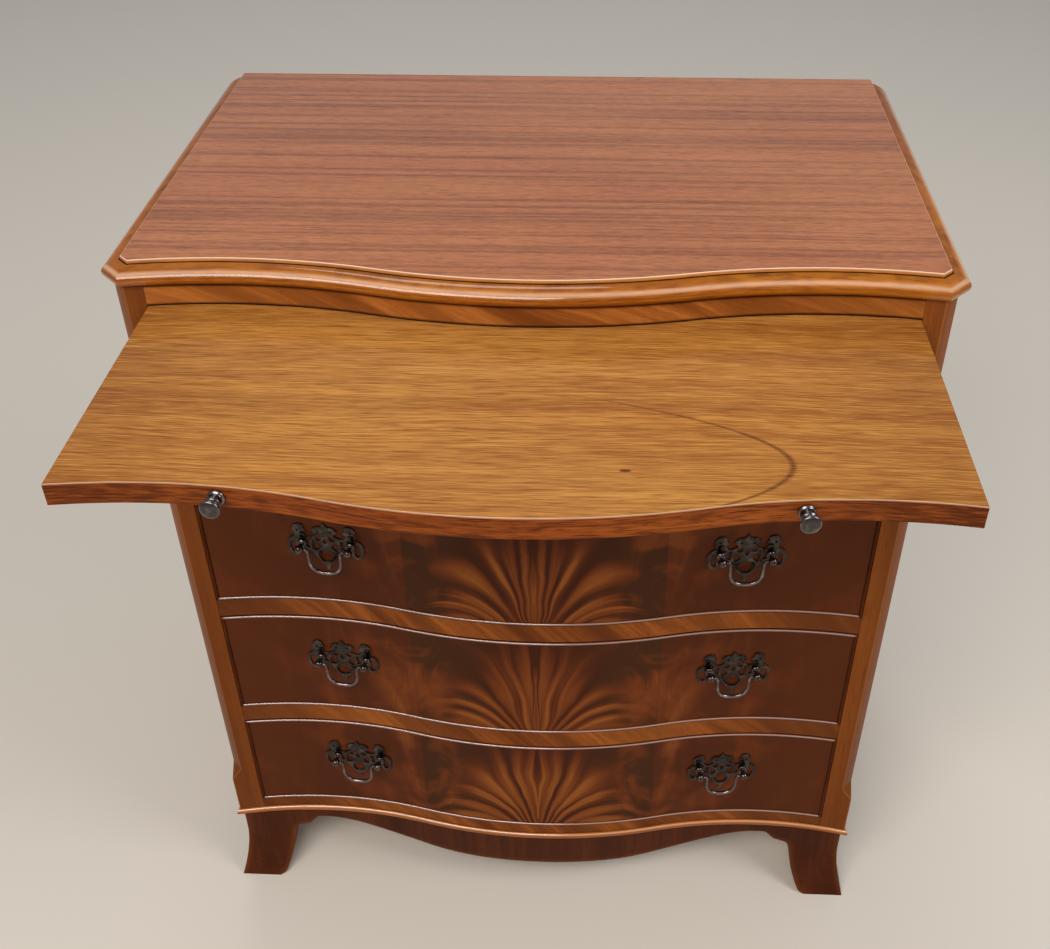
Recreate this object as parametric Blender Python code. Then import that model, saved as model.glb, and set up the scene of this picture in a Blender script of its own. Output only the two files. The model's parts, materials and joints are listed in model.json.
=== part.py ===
"""Serpentine chest of four long drawers with a brushing slide, made the way a cabinet maker makes it.

Sizes are in metres. X runs along the front, +Y runs to the back and +Z runs up. The pieces are drawn
from the stile line, y = 0, where the rails meet the corner stiles; one empty then moves the whole
chest so that the origin lies under the middle of its box, with the slide pulled out.
"""
import math

import bmesh
import bpy
from mathutils import Matrix, Vector

# Gaps and running clearances
GLUE_GAP = 0.0003
SLIDE_CLEARANCE = 0.0004
SLIDE_SIDE_CLEARANCE = 0.001
DRAWER_CLEARANCE = 0.0008
PIN_CLEARANCE = 0.0004

# Plan of the front: a convex arc in the middle, a hollow arc on each side
CENTRE_RADIUS = 0.584
HOLLOW_RADIUS = 0.519
HOLLOW_X = 0.258
STATIONS = 14

# Carcass
OPENING_WIDTH = 0.670
STILE_WIDTH = 0.0288
STILE_DEPTH = 0.040
STILE_CANT_X = 0.012
STILE_CANT_Y = 0.016
STILE_FOOT = 0.050
STILE_STOP = 0.024
CARCASS_DEPTH = 0.463
SIDE_THICKNESS = 0.018
BACK_THICKNESS = 0.006
BACK_REBATE = 0.008
RAIL_DEPTH = 0.055
FRIEZE_HEIGHT = 0.020
SLIDE_RAIL_HEIGHT = 0.028
DRAWER_RAIL_HEIGHT = 0.024
BOTTOM_RAIL_HEIGHT = 0.016
RUNNER_WIDTH = 0.048
HOUSING = 0.004
GUIDE_HEIGHT = 0.030
GUIDE_CLEARANCE = 0.0006

# Top
TOP_THICKNESS = 0.0195
TOP_OVERHANG_FRONT = 0.006
TOP_OVERHANG_SIDE = 0.009
TOP_OVERHANG_BACK = 0.004
TOP_CANT = 0.0195
TOP_BACK_CANT = 0.018
MOULD_WIDTH = 0.0162
MOULD_RISER = 0.0036
MOULD_QUIRK = 0.0012
NOSING_DROP = 0.0068
UNDERCUT = 0.0060

# Brushing slide
SLIDE_THICKNESS = 0.019
SLIDE_DEPTH = 0.440
SLIDE_TRAVEL = 0.256
SLIDE_ARRIS = 0.0009
STOP_WIDTH = 0.040
STOP_DEPTH = 0.018
STOP_HEIGHT = 0.014
STOP_X = 0.200
KNOB_X = 0.2095
KNOB_RADIUS = 0.0078
KNOB_NECK = 0.0036
KNOB_PROJECTION = 0.0175
KNOB_SPIGOT = 0.016

# Drawers
DRAWER_COUNT = 4
DRAWER_OPENING_HEIGHT = 0.1385
DRAWER_DEPTH = 0.435
FRONT_THICKNESS = 0.020
FRONT_RECESS = 0.0005
BEAD_THICKNESS = 0.003
BEAD_DEPTH = 0.009
BEAD_PROUD = 0.002
SIDE_DROP = 0.006
DRAWER_SIDE_THICKNESS = 0.009
DRAWER_BACK_THICKNESS = 0.009
DRAWER_BOTTOM_THICKNESS = 0.005
BOTTOM_RISE = 0.008
GROOVE_DEPTH = 0.0045
TAIL_COUNT = 3
TAIL_LENGTH = 0.0088
TAIL_WIDTH = 0.020
TAIL_SLOPE = 0.15

# Swan-neck handles
HANDLE_X = 0.2095
HANDLE_RISE = 0.010
POST_SPACING = 0.050
PLATE_THICKNESS = 0.0016
POST_RADIUS = 0.0019
HEAD_RADIUS = 0.0045
PIVOT_OUT = 0.0105
NUT_RADIUS = 0.0052
NUT_THICKNESS = 0.0032
BAIL_RADIUS = 0.0016
PIN_RADIUS = 0.0011
BAIL_HALF_WIDTH = 0.0168
BAIL_DROP = 0.033
BAIL_BEND = 0.003

# Base
BASE_HEIGHT = 0.099
BASE_MOULDING_HEIGHT = 0.0075
BASE_MOULDING_PROUD = 0.003
BASE_MOULDING_WIDTH = 0.045
BASE_INSET = 0.003
BRACKET_THICKNESS = 0.020
FOOT_WIDTH = 0.0545
FOOT_SPLAY = 0.0115
FOOT_FORWARD = 1.75
FOOT_SWEEP = 0.015
FOOT_HEIGHT = 0.053
FOOT_ROUND = 0.005
BRACKET_REACH = 0.036
ARCH_TOP = 0.0185
APRON_DROP = 0.053
APRON_FLAT = 0.005
FOOT_BLOCK = 0.030

# Levels, floor upwards
CARCASS_WIDTH = OPENING_WIDTH + 2 * STILE_WIDTH
CARCASS_BOTTOM = BASE_HEIGHT + BASE_MOULDING_HEIGHT
DRAWER_PITCH = DRAWER_OPENING_HEIGHT + DRAWER_RAIL_HEIGHT
FIRST_OPENING = CARCASS_BOTTOM + BOTTOM_RAIL_HEIGHT
SLIDE_OPENING_LOW = FIRST_OPENING + DRAWER_COUNT * DRAWER_PITCH - DRAWER_RAIL_HEIGHT + SLIDE_RAIL_HEIGHT
SLIDE_OPENING_HIGH = SLIDE_OPENING_LOW + SLIDE_THICKNESS + 2 * SLIDE_CLEARANCE
CARCASS_TOP = SLIDE_OPENING_HIGH + FRIEZE_HEIGHT
CHEST_HEIGHT = CARCASS_TOP + TOP_THICKNESS
INNER_BACK = CARCASS_DEPTH - BACK_THICKNESS - 2 * GLUE_GAP

# Plan values worked out from the arcs
RADII = CENTRE_RADIUS + HOLLOW_RADIUS
HOLLOW_DEPTH = RADII - math.sqrt(RADII**2 - HOLLOW_X**2)
EDGE_FROM_HOLLOW = OPENING_WIDTH / 2 - HOLLOW_X
STILE_LINE = HOLLOW_DEPTH - HOLLOW_RADIUS + math.sqrt(HOLLOW_RADIUS**2 - EDGE_FROM_HOLLOW**2)

MAHOGANY = (0.30, 0.105, 0.040)
STRIPED_MAHOGANY = (0.40, 0.155, 0.090)
FLAME_MAHOGANY = (0.160, 0.050, 0.022)
DARK_MAHOGANY = (0.080, 0.022, 0.010)
GOLDEN_MAHOGANY = (0.430, 0.190, 0.045)
SECONDARY_WOOD = (0.520, 0.340, 0.180)
ANTIQUE_BRASS = (0.060, 0.045, 0.038)


def front_y(x, out=0.0):
    """Return y of the front line at x, moved outward by out.

    A convex arc in the middle meets a hollow arc on each side. Moving the line outward makes the
    convex radius longer and the hollow radius shorter by one length, so mouldings run parallel.
    """
    across = abs(x)
    convex = CENTRE_RADIUS + out
    hollow = HOLLOW_RADIUS - out
    arcs_meet = HOLLOW_X * convex / (convex + hollow)
    if across < arcs_meet:
        return CENTRE_RADIUS - math.sqrt(convex**2 - across**2) - STILE_LINE
    reach = math.sqrt(hollow**2 - (across - HOLLOW_X)**2)
    return HOLLOW_DEPTH - HOLLOW_RADIUS + reach - STILE_LINE


def front_slope(x):
    """Return the angle, about Z, of the front line at x."""
    step = 0.0005
    return math.atan2(front_y(x + step) - front_y(x - step), 2 * step)


def spread(low, high, count):
    """Return count + 1 even values from low to high."""
    return [low + (high - low) * i / count for i in range(count + 1)]


def chord_y(x, half_width, out=0.0):
    """Return y at x on the straight facets of a board of that half width, moved outward by out."""
    step = 2 * half_width / STATIONS
    count = math.floor((x + half_width) / step)
    start = -half_width + step * count
    share = (x - start) / step
    return front_y(start, out) * (1 - share) + front_y(start + step, out) * share


def shade(mesh, angle=35):
    """Shade a mesh smooth, with its edges over the angle kept sharp."""
    mesh.shade_smooth()
    mesh.set_sharp_from_angle(angle=math.radians(angle))


def closed_mesh(name, verts, faces):
    """Make a mesh from points and faces, with every body's faces pointing outward."""
    mesh = bpy.data.meshes.new(name)
    mesh.from_pydata([tuple(v) for v in verts], [], faces)
    work = bmesh.new()
    work.from_mesh(mesh)
    bmesh.ops.recalc_face_normals(work, faces=work.faces)
    work.to_mesh(mesh)
    work.free()
    shade(mesh)
    return mesh


def join_bodies(name, meshes):
    """Put several closed meshes into one mesh as separate bodies."""
    work = bmesh.new()
    for mesh in meshes:
        work.from_mesh(mesh)
    joined = bpy.data.meshes.new(name)
    work.to_mesh(joined)
    work.free()
    shade(joined)
    return joined


def moved(mesh, matrix):
    """Return a copy of a mesh, moved by a matrix; a mirrored copy is turned right side out."""
    copy = mesh.copy()
    copy.transform(matrix)
    if matrix.determinant() < 0:
        copy.flip_normals()
    return copy


def shifted(mesh, x=0.0, y=0.0, z=0.0):
    """Return a copy of a mesh, shifted."""
    return moved(mesh, Matrix.Translation((x, y, z)))


def mirrored(mesh):
    """Return a copy of a mesh, mirrored left to right."""
    return moved(mesh, Matrix.Scale(-1, 4, Vector((1, 0, 0))))


def row_solid(name, rings):
    """Close a run of rings, each a lower and an upper row of points, all with one count."""
    size = len(rings[0][0])
    verts = []
    for lower, upper in rings:
        verts += list(lower) + list(reversed(upper))
    loop = 2 * size
    faces = ring_walls(len(rings), loop)
    last = (len(rings) - 1) * loop
    for i in range(size - 1):
        faces.append((i, i + 1, loop - 2 - i, loop - 1 - i))
        faces.append((last + i, last + i + 1, last + loop - 2 - i, last + loop - 1 - i))
    return closed_mesh(name, verts, faces)


def ring_walls(count, loop):
    """Return the quads between successive rings of loop points each."""
    faces = []
    for ring in range(count - 1):
        for i in range(loop):
            j = (i + 1) % loop
            faces.append((ring * loop + i, ring * loop + j, (ring + 1) * loop + j, (ring + 1) * loop + i))
    return faces


def ring_solid(name, rings):
    """Close a run of rings of points with a flat face at each end."""
    loop = len(rings[0])
    verts = [point for ring in rings for point in ring]
    faces = ring_walls(len(rings), loop)
    faces.append(tuple(range(loop)))
    faces.append(tuple(range(len(verts) - loop, len(verts))))
    return closed_mesh(name, verts, faces)


def prism(name, outline, axis, low, high):
    """Extrude a flat outline along an axis; the outline's pairs are the other two axes in order."""
    def point(pair, level):
        values = list(pair)
        values.insert("xyz".index(axis), level)
        return tuple(values)
    return ring_solid(name, [[point(pair, level) for pair in outline] for level in (low, high)])


def block(name, x, y, z):
    """Make a box from three pairs of limits."""
    outline = [(x[0], y[0]), (x[1], y[0]), (x[1], y[1]), (x[0], y[1])]
    return prism(name, outline, "z", z[0], z[1])


def turned(name, profile, sides):
    """Turn a profile of (y, radius) pairs about the Y axis."""
    rings = []
    for y, radius in profile:
        angles = [2 * math.pi * i / sides for i in range(sides)]
        rings.append([(radius * math.cos(a), y, radius * math.sin(a)) for a in angles])
    return ring_solid(name, rings)


def combine(name, mesh, others, operation):
    """Return the mesh joined with the others, or with them taken out of it."""
    body = bpy.data.objects.new("combine_body", mesh)
    tool = bpy.data.objects.new("combine_tool", join_bodies("combine_tool", others))
    for item in (body, tool):
        bpy.context.scene.collection.objects.link(item)
    step = body.modifiers.new("step", "BOOLEAN")
    step.operation = operation
    step.solver = "EXACT"
    step.object = tool
    graph = bpy.context.evaluated_depsgraph_get()
    result = bpy.data.meshes.new_from_object(body.evaluated_get(graph))
    result.name = name
    for item in (body, tool):
        bpy.data.objects.remove(item)
    shade(result)
    return result


def carve(name, mesh, cutters):
    """Return the mesh with the cutters, which stand clear of each other, taken out of it."""
    return combine(name, mesh, cutters, "DIFFERENCE")


def fuse(name, mesh, others):
    """Return one body made of the mesh and others that reach into it."""
    return combine(name, mesh, others, "UNION")


def finish(name, color, roughness, metallic=0.0):
    """Make a plain Principled material."""
    material = bpy.data.materials.new(name)
    material.use_nodes = True
    shader = material.node_tree.nodes["Principled BSDF"]
    shader.inputs["Base Color"].default_value = (*color, 1.0)
    shader.inputs["Roughness"].default_value = roughness
    shader.inputs["Metallic"].default_value = metallic
    material.diffuse_color = (*color, 1.0)
    return material


def place(name, mesh, parent, color, roughness=0.35, metallic=0.0, matrix=None):
    """Add a named piece under its parent, with a material of its own."""
    if not mesh.materials:
        mesh.materials.append(None)
    piece = bpy.data.objects.new(name, mesh)
    bpy.context.scene.collection.objects.link(piece)
    piece.material_slots[0].link = "OBJECT"
    piece.material_slots[0].material = finish(name, color, roughness, metallic)
    piece.parent = parent
    if matrix is not None:
        piece.matrix_local = matrix
    return piece


def anchor(name, location, parent=None):
    """Add an empty that carries pieces."""
    empty = bpy.data.objects.new(name, None)
    bpy.context.scene.collection.objects.link(empty)
    empty.location = location
    empty.parent = parent
    return empty


def row(xs, z, out=None, y=None):
    """Return points at height z along xs, on the front line moved out, or at one y."""
    if y is not None:
        return [(x, y, z) for x in xs]
    return [(x, front_y(x, out), z) for x in xs]


def curved_board(name, half_width, low, high, back_y=None, thickness=None, arris=0.0, out=0.0):
    """Make a board with a serpentine front; its back is straight at back_y or runs parallel."""
    xs = spread(-half_width, half_width, STATIONS)
    rings = []
    if arris:
        rings.append((row(xs, low + arris, out), row(xs, high - arris, out)))
    rings.append((row(xs, low, out - arris), row(xs, high, out - arris)))
    if back_y is None:
        rings.append((row(xs, low, out - thickness), row(xs, high, out - thickness)))
    else:
        rings.append((row(xs, low, y=back_y), row(xs, high, y=back_y)))
    return row_solid(name, rings)


# Top board

def canted_ring(out_front, out_side, cant_out, z):
    """Return the plan outline of the top at one level of its moulding.

    The front line, the two canted corners and the two sides are all moved out by their own
    offsets; the back edge and the small cants at the back are square cuts through the board.
    """
    half = CARCASS_WIDTH / 2 + TOP_OVERHANG_SIDE
    back = CARCASS_DEPTH + TOP_OVERHANG_BACK
    side = half + out_side
    corner_y = front_y(half - TOP_CANT, TOP_OVERHANG_FRONT)
    cant_sum = -(half - TOP_CANT) + corner_y - cant_out * math.sqrt(2)
    low, high = half - 2 * TOP_CANT - MOULD_WIDTH, side
    for _ in range(40):
        middle = (low + high) / 2
        inside = front_y(middle, TOP_OVERHANG_FRONT + out_front) - middle > cant_sum
        low, high = (middle, high) if inside else (low, middle)
    front = [(x, front_y(x, TOP_OVERHANG_FRONT + out_front), z) for x in spread(-low, low, STATIONS)]
    right = [(side, cant_sum + side, z),
             (side, back - TOP_BACK_CANT + (half - side), z),
             (half - TOP_BACK_CANT, back, z)]
    left = [(-x, y, level) for x, y, level in reversed(right)]
    return front + right + left


def top_profile():
    """Return the moulding of the top, from its underside up, as (offset, depth below the top)."""
    shelf = -MOULD_WIDTH + MOULD_QUIRK
    shelf_depth = MOULD_RISER
    nose_depth = TOP_THICKNESS - NOSING_DROP
    profile = [(-UNDERCUT, TOP_THICKNESS)]
    for angle in (40, 75):
        turn = math.radians(angle)
        offset = -UNDERCUT * (1 - math.sin(turn))
        profile.append((offset, nose_depth + NOSING_DROP * math.cos(turn)))
    for angle in (0, 30, 60, 90):
        turn = math.radians(angle)
        offset = shelf * (1 - math.cos(turn))
        profile.append((offset, nose_depth - (nose_depth - shelf_depth) * math.sin(turn)))
    profile.append((-MOULD_WIDTH, shelf_depth + MOULD_QUIRK / 2))
    profile.append((-MOULD_WIDTH - MOULD_QUIRK / 2, 0.0))
    return profile


def top_board_mesh():
    """Loft the canted outline through the moulding."""
    bottom = CARCASS_TOP + GLUE_GAP
    scale = (CHEST_HEIGHT - bottom) / TOP_THICKNESS
    rings = [canted_ring(offset, offset, offset, CHEST_HEIGHT - depth * scale)
             for offset, depth in top_profile()]
    return ring_solid("top_board", rings)


# Carcass

def stile_section(cant):
    """Return the plan of the right stile with its outer corner cut back by a share of the cant."""
    inner = OPENING_WIDTH / 2
    outer = inner + STILE_WIDTH
    cut_x = outer - max(STILE_CANT_X * cant, 0.0004)
    cut_y = front_y(outer) + max(STILE_CANT_Y * cant, 0.0005)
    middle = (inner + cut_x) / 2
    return [(inner, front_y(inner)), (middle, front_y(middle)), (cut_x, front_y(cut_x)),
            (outer, cut_y), (outer, STILE_DEPTH), (inner, STILE_DEPTH)]


def stile_mesh():
    """Make the right stile: square at its foot, then a lamb's-tongue stop, then canted."""
    low = CARCASS_BOTTOM + GLUE_GAP
    stop_low = CARCASS_BOTTOM + STILE_FOOT
    levels = [(low, 0.0), (stop_low, 0.0)]
    for share, cant in ((0.2, 0.16), (0.4, 0.42), (0.55, 0.62), (0.75, 0.86), (1.0, 1.0)):
        levels.append((stop_low + STILE_STOP * share, cant))
    levels.append((CARCASS_TOP, 1.0))
    rings = [[(x, y, z) for x, y in stile_section(cant)] for z, cant in levels]
    return ring_solid("stile_right", rings)


def side_panel_mesh():
    """Make the right side panel, with the rebate for the back along its rear edge."""
    outer = CARCASS_WIDTH / 2
    inner = outer - SIDE_THICKNESS
    rebate_y = CARCASS_DEPTH - BACK_THICKNESS - GLUE_GAP
    front = STILE_DEPTH + GLUE_GAP
    outline = [(inner, front), (outer, front), (outer, CARCASS_DEPTH),
               (inner + BACK_REBATE, CARCASS_DEPTH), (inner + BACK_REBATE, rebate_y), (inner, rebate_y)]
    return prism("side_panel", outline, "z", CARCASS_BOTTOM + GLUE_GAP, CARCASS_TOP)


def rail_mesh(name, low, high):
    """Make a serpentine rail between the stiles."""
    half = OPENING_WIDTH / 2 - GLUE_GAP
    return curved_board(name, half, low, high, back_y=RAIL_DEPTH)


def opening_low(number):
    """Return the lower edge of a drawer's opening; drawer 1 is the top one."""
    return FIRST_OPENING + (DRAWER_COUNT - number) * DRAWER_PITCH


def runner_mesh(low, high, guide_top):
    """Make a right runner between two heights, with its guide strip standing on it."""
    inner = CARCASS_WIDTH / 2 - SIDE_THICKNESS
    guide = OPENING_WIDTH / 2 + GUIDE_CLEARANCE
    outline = [(inner + HOUSING, low), (inner + HOUSING, guide_top), (guide, guide_top),
               (guide, high), (inner - RUNNER_WIDTH, high), (inner - RUNNER_WIDTH, low)]
    return prism("runner", outline, "y", RAIL_DEPTH + GLUE_GAP, INNER_BACK)


def strip_mesh(inner, low, high):
    """Make a plain strip housed in the right side panel, reaching in to inner."""
    outer = CARCASS_WIDTH / 2 - SIDE_THICKNESS + HOUSING
    return block("strip", (inner, outer), (RAIL_DEPTH + GLUE_GAP, INNER_BACK), (low, high))


def side_mesh():
    """Make the right side in one piece with what it carries.

    From the floor up these are the guide over the bottom board, the three drawer runners, the
    bearer of the slide and the kicker that keeps the slide from tipping.
    """
    guide = OPENING_WIDTH / 2 + GUIDE_CLEARANCE
    carried = [strip_mesh(guide, FIRST_OPENING + GLUE_GAP, FIRST_OPENING + GUIDE_HEIGHT)]
    for number in range(1, DRAWER_COUNT):
        high = opening_low(number)
        carried.append(runner_mesh(high - DRAWER_RAIL_HEIGHT, high, high + GUIDE_HEIGHT))
    bearer_low = SLIDE_OPENING_LOW - SLIDE_RAIL_HEIGHT
    carried.append(runner_mesh(bearer_low, SLIDE_OPENING_LOW, SLIDE_OPENING_HIGH - GLUE_GAP))
    kicker_inner = CARCASS_WIDTH / 2 - SIDE_THICKNESS - RUNNER_WIDTH
    carried.append(strip_mesh(kicker_inner, SLIDE_OPENING_HIGH, CARCASS_TOP - GLUE_GAP))
    return fuse("side", side_panel_mesh(), carried)


def build_carcass(chest):
    """Add the fixed pieces above the base."""
    stile = stile_mesh()
    side = side_mesh()
    place("stile_right", stile, chest, MAHOGANY)
    place("stile_left", mirrored(stile), chest, MAHOGANY)
    place("side_right", side, chest, MAHOGANY)
    place("side_left", mirrored(side), chest, MAHOGANY)

    rails = [("frieze_rail", SLIDE_OPENING_HIGH, CARCASS_TOP),
             ("slide_rail", SLIDE_OPENING_LOW - SLIDE_RAIL_HEIGHT, SLIDE_OPENING_LOW),
             ("bottom_rail", CARCASS_BOTTOM + GLUE_GAP, FIRST_OPENING)]
    for number in range(1, DRAWER_COUNT):
        high = opening_low(number)
        rails.append((f"drawer_rail_{number}", high - DRAWER_RAIL_HEIGHT, high))
    for name, low, high in rails:
        place(name, rail_mesh(name, low, high), chest, MAHOGANY)

    inner = CARCASS_WIDTH / 2 - SIDE_THICKNESS - GLUE_GAP
    bottom = block("bottom_board", (-inner, inner), (RAIL_DEPTH + GLUE_GAP, INNER_BACK),
                   (CARCASS_BOTTOM + GLUE_GAP, FIRST_OPENING))
    place("bottom_board", bottom, chest, SECONDARY_WOOD, 0.6)
    reach = inner + BACK_REBATE
    back = block("back_panel", (-reach, reach), (CARCASS_DEPTH - BACK_THICKNESS, CARCASS_DEPTH),
                 (CARCASS_BOTTOM + GLUE_GAP, CARCASS_TOP))
    place("back_panel", back, chest, SECONDARY_WOOD, 0.6)
    place("top_board", top_board_mesh(), chest, STRIPED_MAHOGANY, 0.3)


# Base

def splay(z):
    """Return how far the face of a foot stands out at height z."""
    rise = max(0.0, 1.0 - z / (FOOT_HEIGHT * 1.35))
    return FOOT_SPLAY * rise**2


def base_half():
    """Return the half width of the base above the splay."""
    return CARCASS_WIDTH / 2 - BASE_INSET


def foot_edge(z):
    """Return how far a foot's inner edge lies from the base's outer face at height z."""
    rise = min(z / FOOT_HEIGHT, 1.0)
    sweep = FOOT_SWEEP * (1.0 - (1.0 - rise)**2)
    corner = FOOT_ROUND * max(0.0, 1.0 - z / FOOT_ROUND)**2
    return FOOT_WIDTH - FOOT_SPLAY + sweep - corner


def foot_rungs(stand):
    """Return (outer, inner) pairs up a foot and along its bracket, each (distance in, height).

    The first pairs climb the foot, whose outer edge is splayed by a share of the full splay; the
    next ones turn the corner, and the last one stands where the bracket meets the level apron.
    """
    top = BASE_HEIGHT - GLUE_GAP
    arch = BASE_HEIGHT - ARCH_TOP
    toe = foot_edge(FOOT_HEIGHT)
    heights = [0.0, FOOT_ROUND * 0.7] + spread(0.0, FOOT_HEIGHT, 4)[1:]
    rungs = [((-splay(z) * stand, z), (foot_edge(z), z)) for z in heights]
    step = arch - FOOT_HEIGHT
    rungs.append(((0.0, top), (toe + BRACKET_REACH * 0.22, FOOT_HEIGHT + step * 0.42)))
    rungs.append(((toe, top), (toe + BRACKET_REACH * 0.52, FOOT_HEIGHT + step * 0.54)))
    rungs.append(((toe + BRACKET_REACH * 0.7, top), (toe + BRACKET_REACH * 0.78, FOOT_HEIGHT + step * 0.9)))
    rungs.append(((toe + BRACKET_REACH, top), (toe + BRACKET_REACH, arch)))
    return rungs


def apron_edge(x, arch_end):
    """Return the lower edge of the serpentine apron: level near the feet, dropping to the middle."""
    arch = BASE_HEIGHT - ARCH_TOP
    lowest = BASE_HEIGHT - APRON_DROP
    share = min(abs(x) / (arch_end - APRON_FLAT), 1.0)
    return lowest + (arch - lowest) * (0.5 - 0.5 * math.cos(math.pi * share**2))


def bracket_face_y(x, z, inward):
    """Return y of the front bracket base at x and z, inward from its face; the mitres use it too.

    The front feet sweep further forward than sideways, and straighten towards the floor.
    """
    out = splay(z) * FOOT_FORWARD - BASE_INSET - inward
    curved = front_y(x, out)
    return curved + (front_y(base_half(), out) - curved) * splay(z) / FOOT_SPLAY


def bracket_solid(name, rungs, at):
    """Make a bracket base from its rungs; at(point, inward) puts a drawn point in space."""
    rings = []
    for inward in (0.0, BRACKET_THICKNESS):
        rings.append(([at(inner, inward) for _, inner in rungs], [at(outer, inward) for outer, _ in rungs]))
    return row_solid(name, rings)


def front_bracket_mesh():
    """Make the front apron and feet in one piece, mitred to the side brackets."""
    half = base_half()
    top = BASE_HEIGHT - GLUE_GAP
    left = [((o[0] - half, o[1]), (i[0] - half, i[1])) for o, i in foot_rungs(1.0)]
    arch_end = -left[-1][1][0]
    middle = [((x, top), (x, apron_edge(x, arch_end))) for x in spread(-arch_end, arch_end, 14)[1:-1]]
    right = [((-o[0], o[1]), (-i[0], i[1])) for o, i in reversed(left)]

    def at(point, inward):
        x, z = point
        mitre = inward if abs(x) >= half else 0.0
        x -= math.copysign(mitre, x)
        plain = abs(x) < half - 2 * FOOT_WIDTH
        return (x, bracket_face_y(x, BASE_HEIGHT if plain else z, inward), z)

    return bracket_solid("front_bracket_base", left + middle + right, at)


def side_bracket_mesh():
    """Make the right bracket base: a foot splayed both ways, a level apron and a rear foot."""
    half = base_half()
    corner = front_y(half, -BASE_INSET)
    front = [((corner + o[0], o[1]), (corner + i[0], i[1])) for o, i in foot_rungs(1.0)]
    rear = [((CARCASS_DEPTH - o[0], o[1]), (CARCASS_DEPTH - i[0], i[1])) for o, i in foot_rungs(0.0)]

    def at(point, inward):
        y, z = point
        x = half + splay(z) - inward
        if y <= corner:
            y = bracket_face_y(x, z, inward) + 1.5 * GLUE_GAP
        return (x, y, z)

    return bracket_solid("side_bracket", front + list(reversed(rear)), at)


def moulding_section():
    """Return the base moulding's section as (inward, height) pairs from its back, round its nose."""
    low = BASE_HEIGHT
    high = CARCASS_BOTTOM
    nose = BASE_MOULDING_HEIGHT / 2
    return [(BASE_MOULDING_WIDTH, low), (0.0012, low), (0.0, low + nose), (0.0014, high - 0.0014),
            (0.0042, high), (BASE_MOULDING_WIDTH, high)]


def base_moulding_mesh():
    """Make the frame under the carcass: a serpentine front and two sides, joined at the mitres."""
    side_out = CARCASS_WIDTH / 2 + BASE_MOULDING_PROUD
    rings = []
    for share in spread(-1.0, 1.0, STATIONS):
        ring = []
        for inward, z in moulding_section():
            x = share * (side_out - inward)
            ring.append((x, front_y(x, BASE_MOULDING_PROUD - inward), z))
        rings.append(ring)
    ends = [[(x, CARCASS_DEPTH, z) for x, _, z in ring] for ring in (rings[0], rings[-1])]
    return ring_solid("base_moulding", [ends[0]] + rings + [ends[1]])


def foot_block_meshes():
    """Make the two blocks inside the right feet, glued to the side bracket."""
    outer = base_half() - BRACKET_THICKNESS
    faces = [front_y(x, -BASE_INSET - BRACKET_THICKNESS) for x in (outer - FOOT_BLOCK, outer)]
    blocks = []
    for y in (max(faces) + GLUE_GAP, CARCASS_DEPTH - FOOT_BLOCK - GLUE_GAP):
        blocks.append(block("foot_block", (outer - FOOT_BLOCK, outer + 0.001), (y, y + FOOT_BLOCK),
                            (GLUE_GAP, BASE_HEIGHT - 2 * GLUE_GAP)))
    return blocks


def build_base(chest):
    """Add the moulding and the bracket bases, each side one with its foot blocks."""
    place("base_moulding", base_moulding_mesh(), chest, MAHOGANY)
    place("front_bracket_base", front_bracket_mesh(), chest, DARK_MAHOGANY)
    bracket = fuse("side_bracket", side_bracket_mesh(), foot_block_meshes())
    place("side_bracket_right", bracket, chest, DARK_MAHOGANY)
    place("side_bracket_left", mirrored(bracket), chest, DARK_MAHOGANY)


# Brushing slide

def knob_mesh():
    """Turn a knob about the Y axis: a face with a bead, a waisted neck, a foot and a spigot."""
    face = -KNOB_PROJECTION
    profile = [
        (face, KNOB_RADIUS * 0.55), (face + 0.0012, KNOB_RADIUS * 0.90), (face + 0.0028, KNOB_RADIUS),
        (face + 0.0046, KNOB_RADIUS * 0.85), (face + 0.0068, KNOB_NECK),
        (-0.0042, KNOB_NECK * 1.3), (-0.0020, KNOB_RADIUS * 0.78), (-GLUE_GAP, KNOB_RADIUS * 0.80),
        (-GLUE_GAP, KNOB_NECK * 0.6), (KNOB_SPIGOT, KNOB_NECK * 0.6),
    ]
    return turned("slide_knob", profile, 10)


def knob_matrix(x):
    """Return the place of a knob at x: on the slide's front edge, square to the curve."""
    middle = SLIDE_OPENING_LOW + SLIDE_CLEARANCE + SLIDE_THICKNESS / 2
    y = chord_y(x, OPENING_WIDTH / 2 - SLIDE_SIDE_CLEARANCE)
    return Matrix.Translation((x, y, middle)) @ Matrix.Rotation(front_slope(x), 4, "Z")


def slide_board_mesh():
    """Make the slide: a serpentine front edge, two stop blocks under it and two knob holes."""
    low = SLIDE_OPENING_LOW + SLIDE_CLEARANCE
    half = OPENING_WIDTH / 2 - SLIDE_SIDE_CLEARANCE
    high = low + SLIDE_THICKNESS
    board = curved_board("slide_board", half, low, high, back_y=SLIDE_DEPTH, arris=SLIDE_ARRIS)
    front = RAIL_DEPTH + GLUE_GAP + SLIDE_TRAVEL
    stops = [block("stop", (x - STOP_WIDTH / 2, x + STOP_WIDTH / 2), (front, front + STOP_DEPTH),
                   (low - STOP_HEIGHT, low + 0.002)) for x in (-STOP_X, STOP_X)]
    board = fuse("slide_board", board, stops)
    bore = KNOB_NECK * 0.6 + GLUE_GAP
    drill = turned("drill", [(-0.01, bore), (KNOB_SPIGOT + GLUE_GAP, bore)], 10)
    return carve("slide_board", board, [moved(drill, knob_matrix(x)) for x in (-KNOB_X, KNOB_X)])


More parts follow.
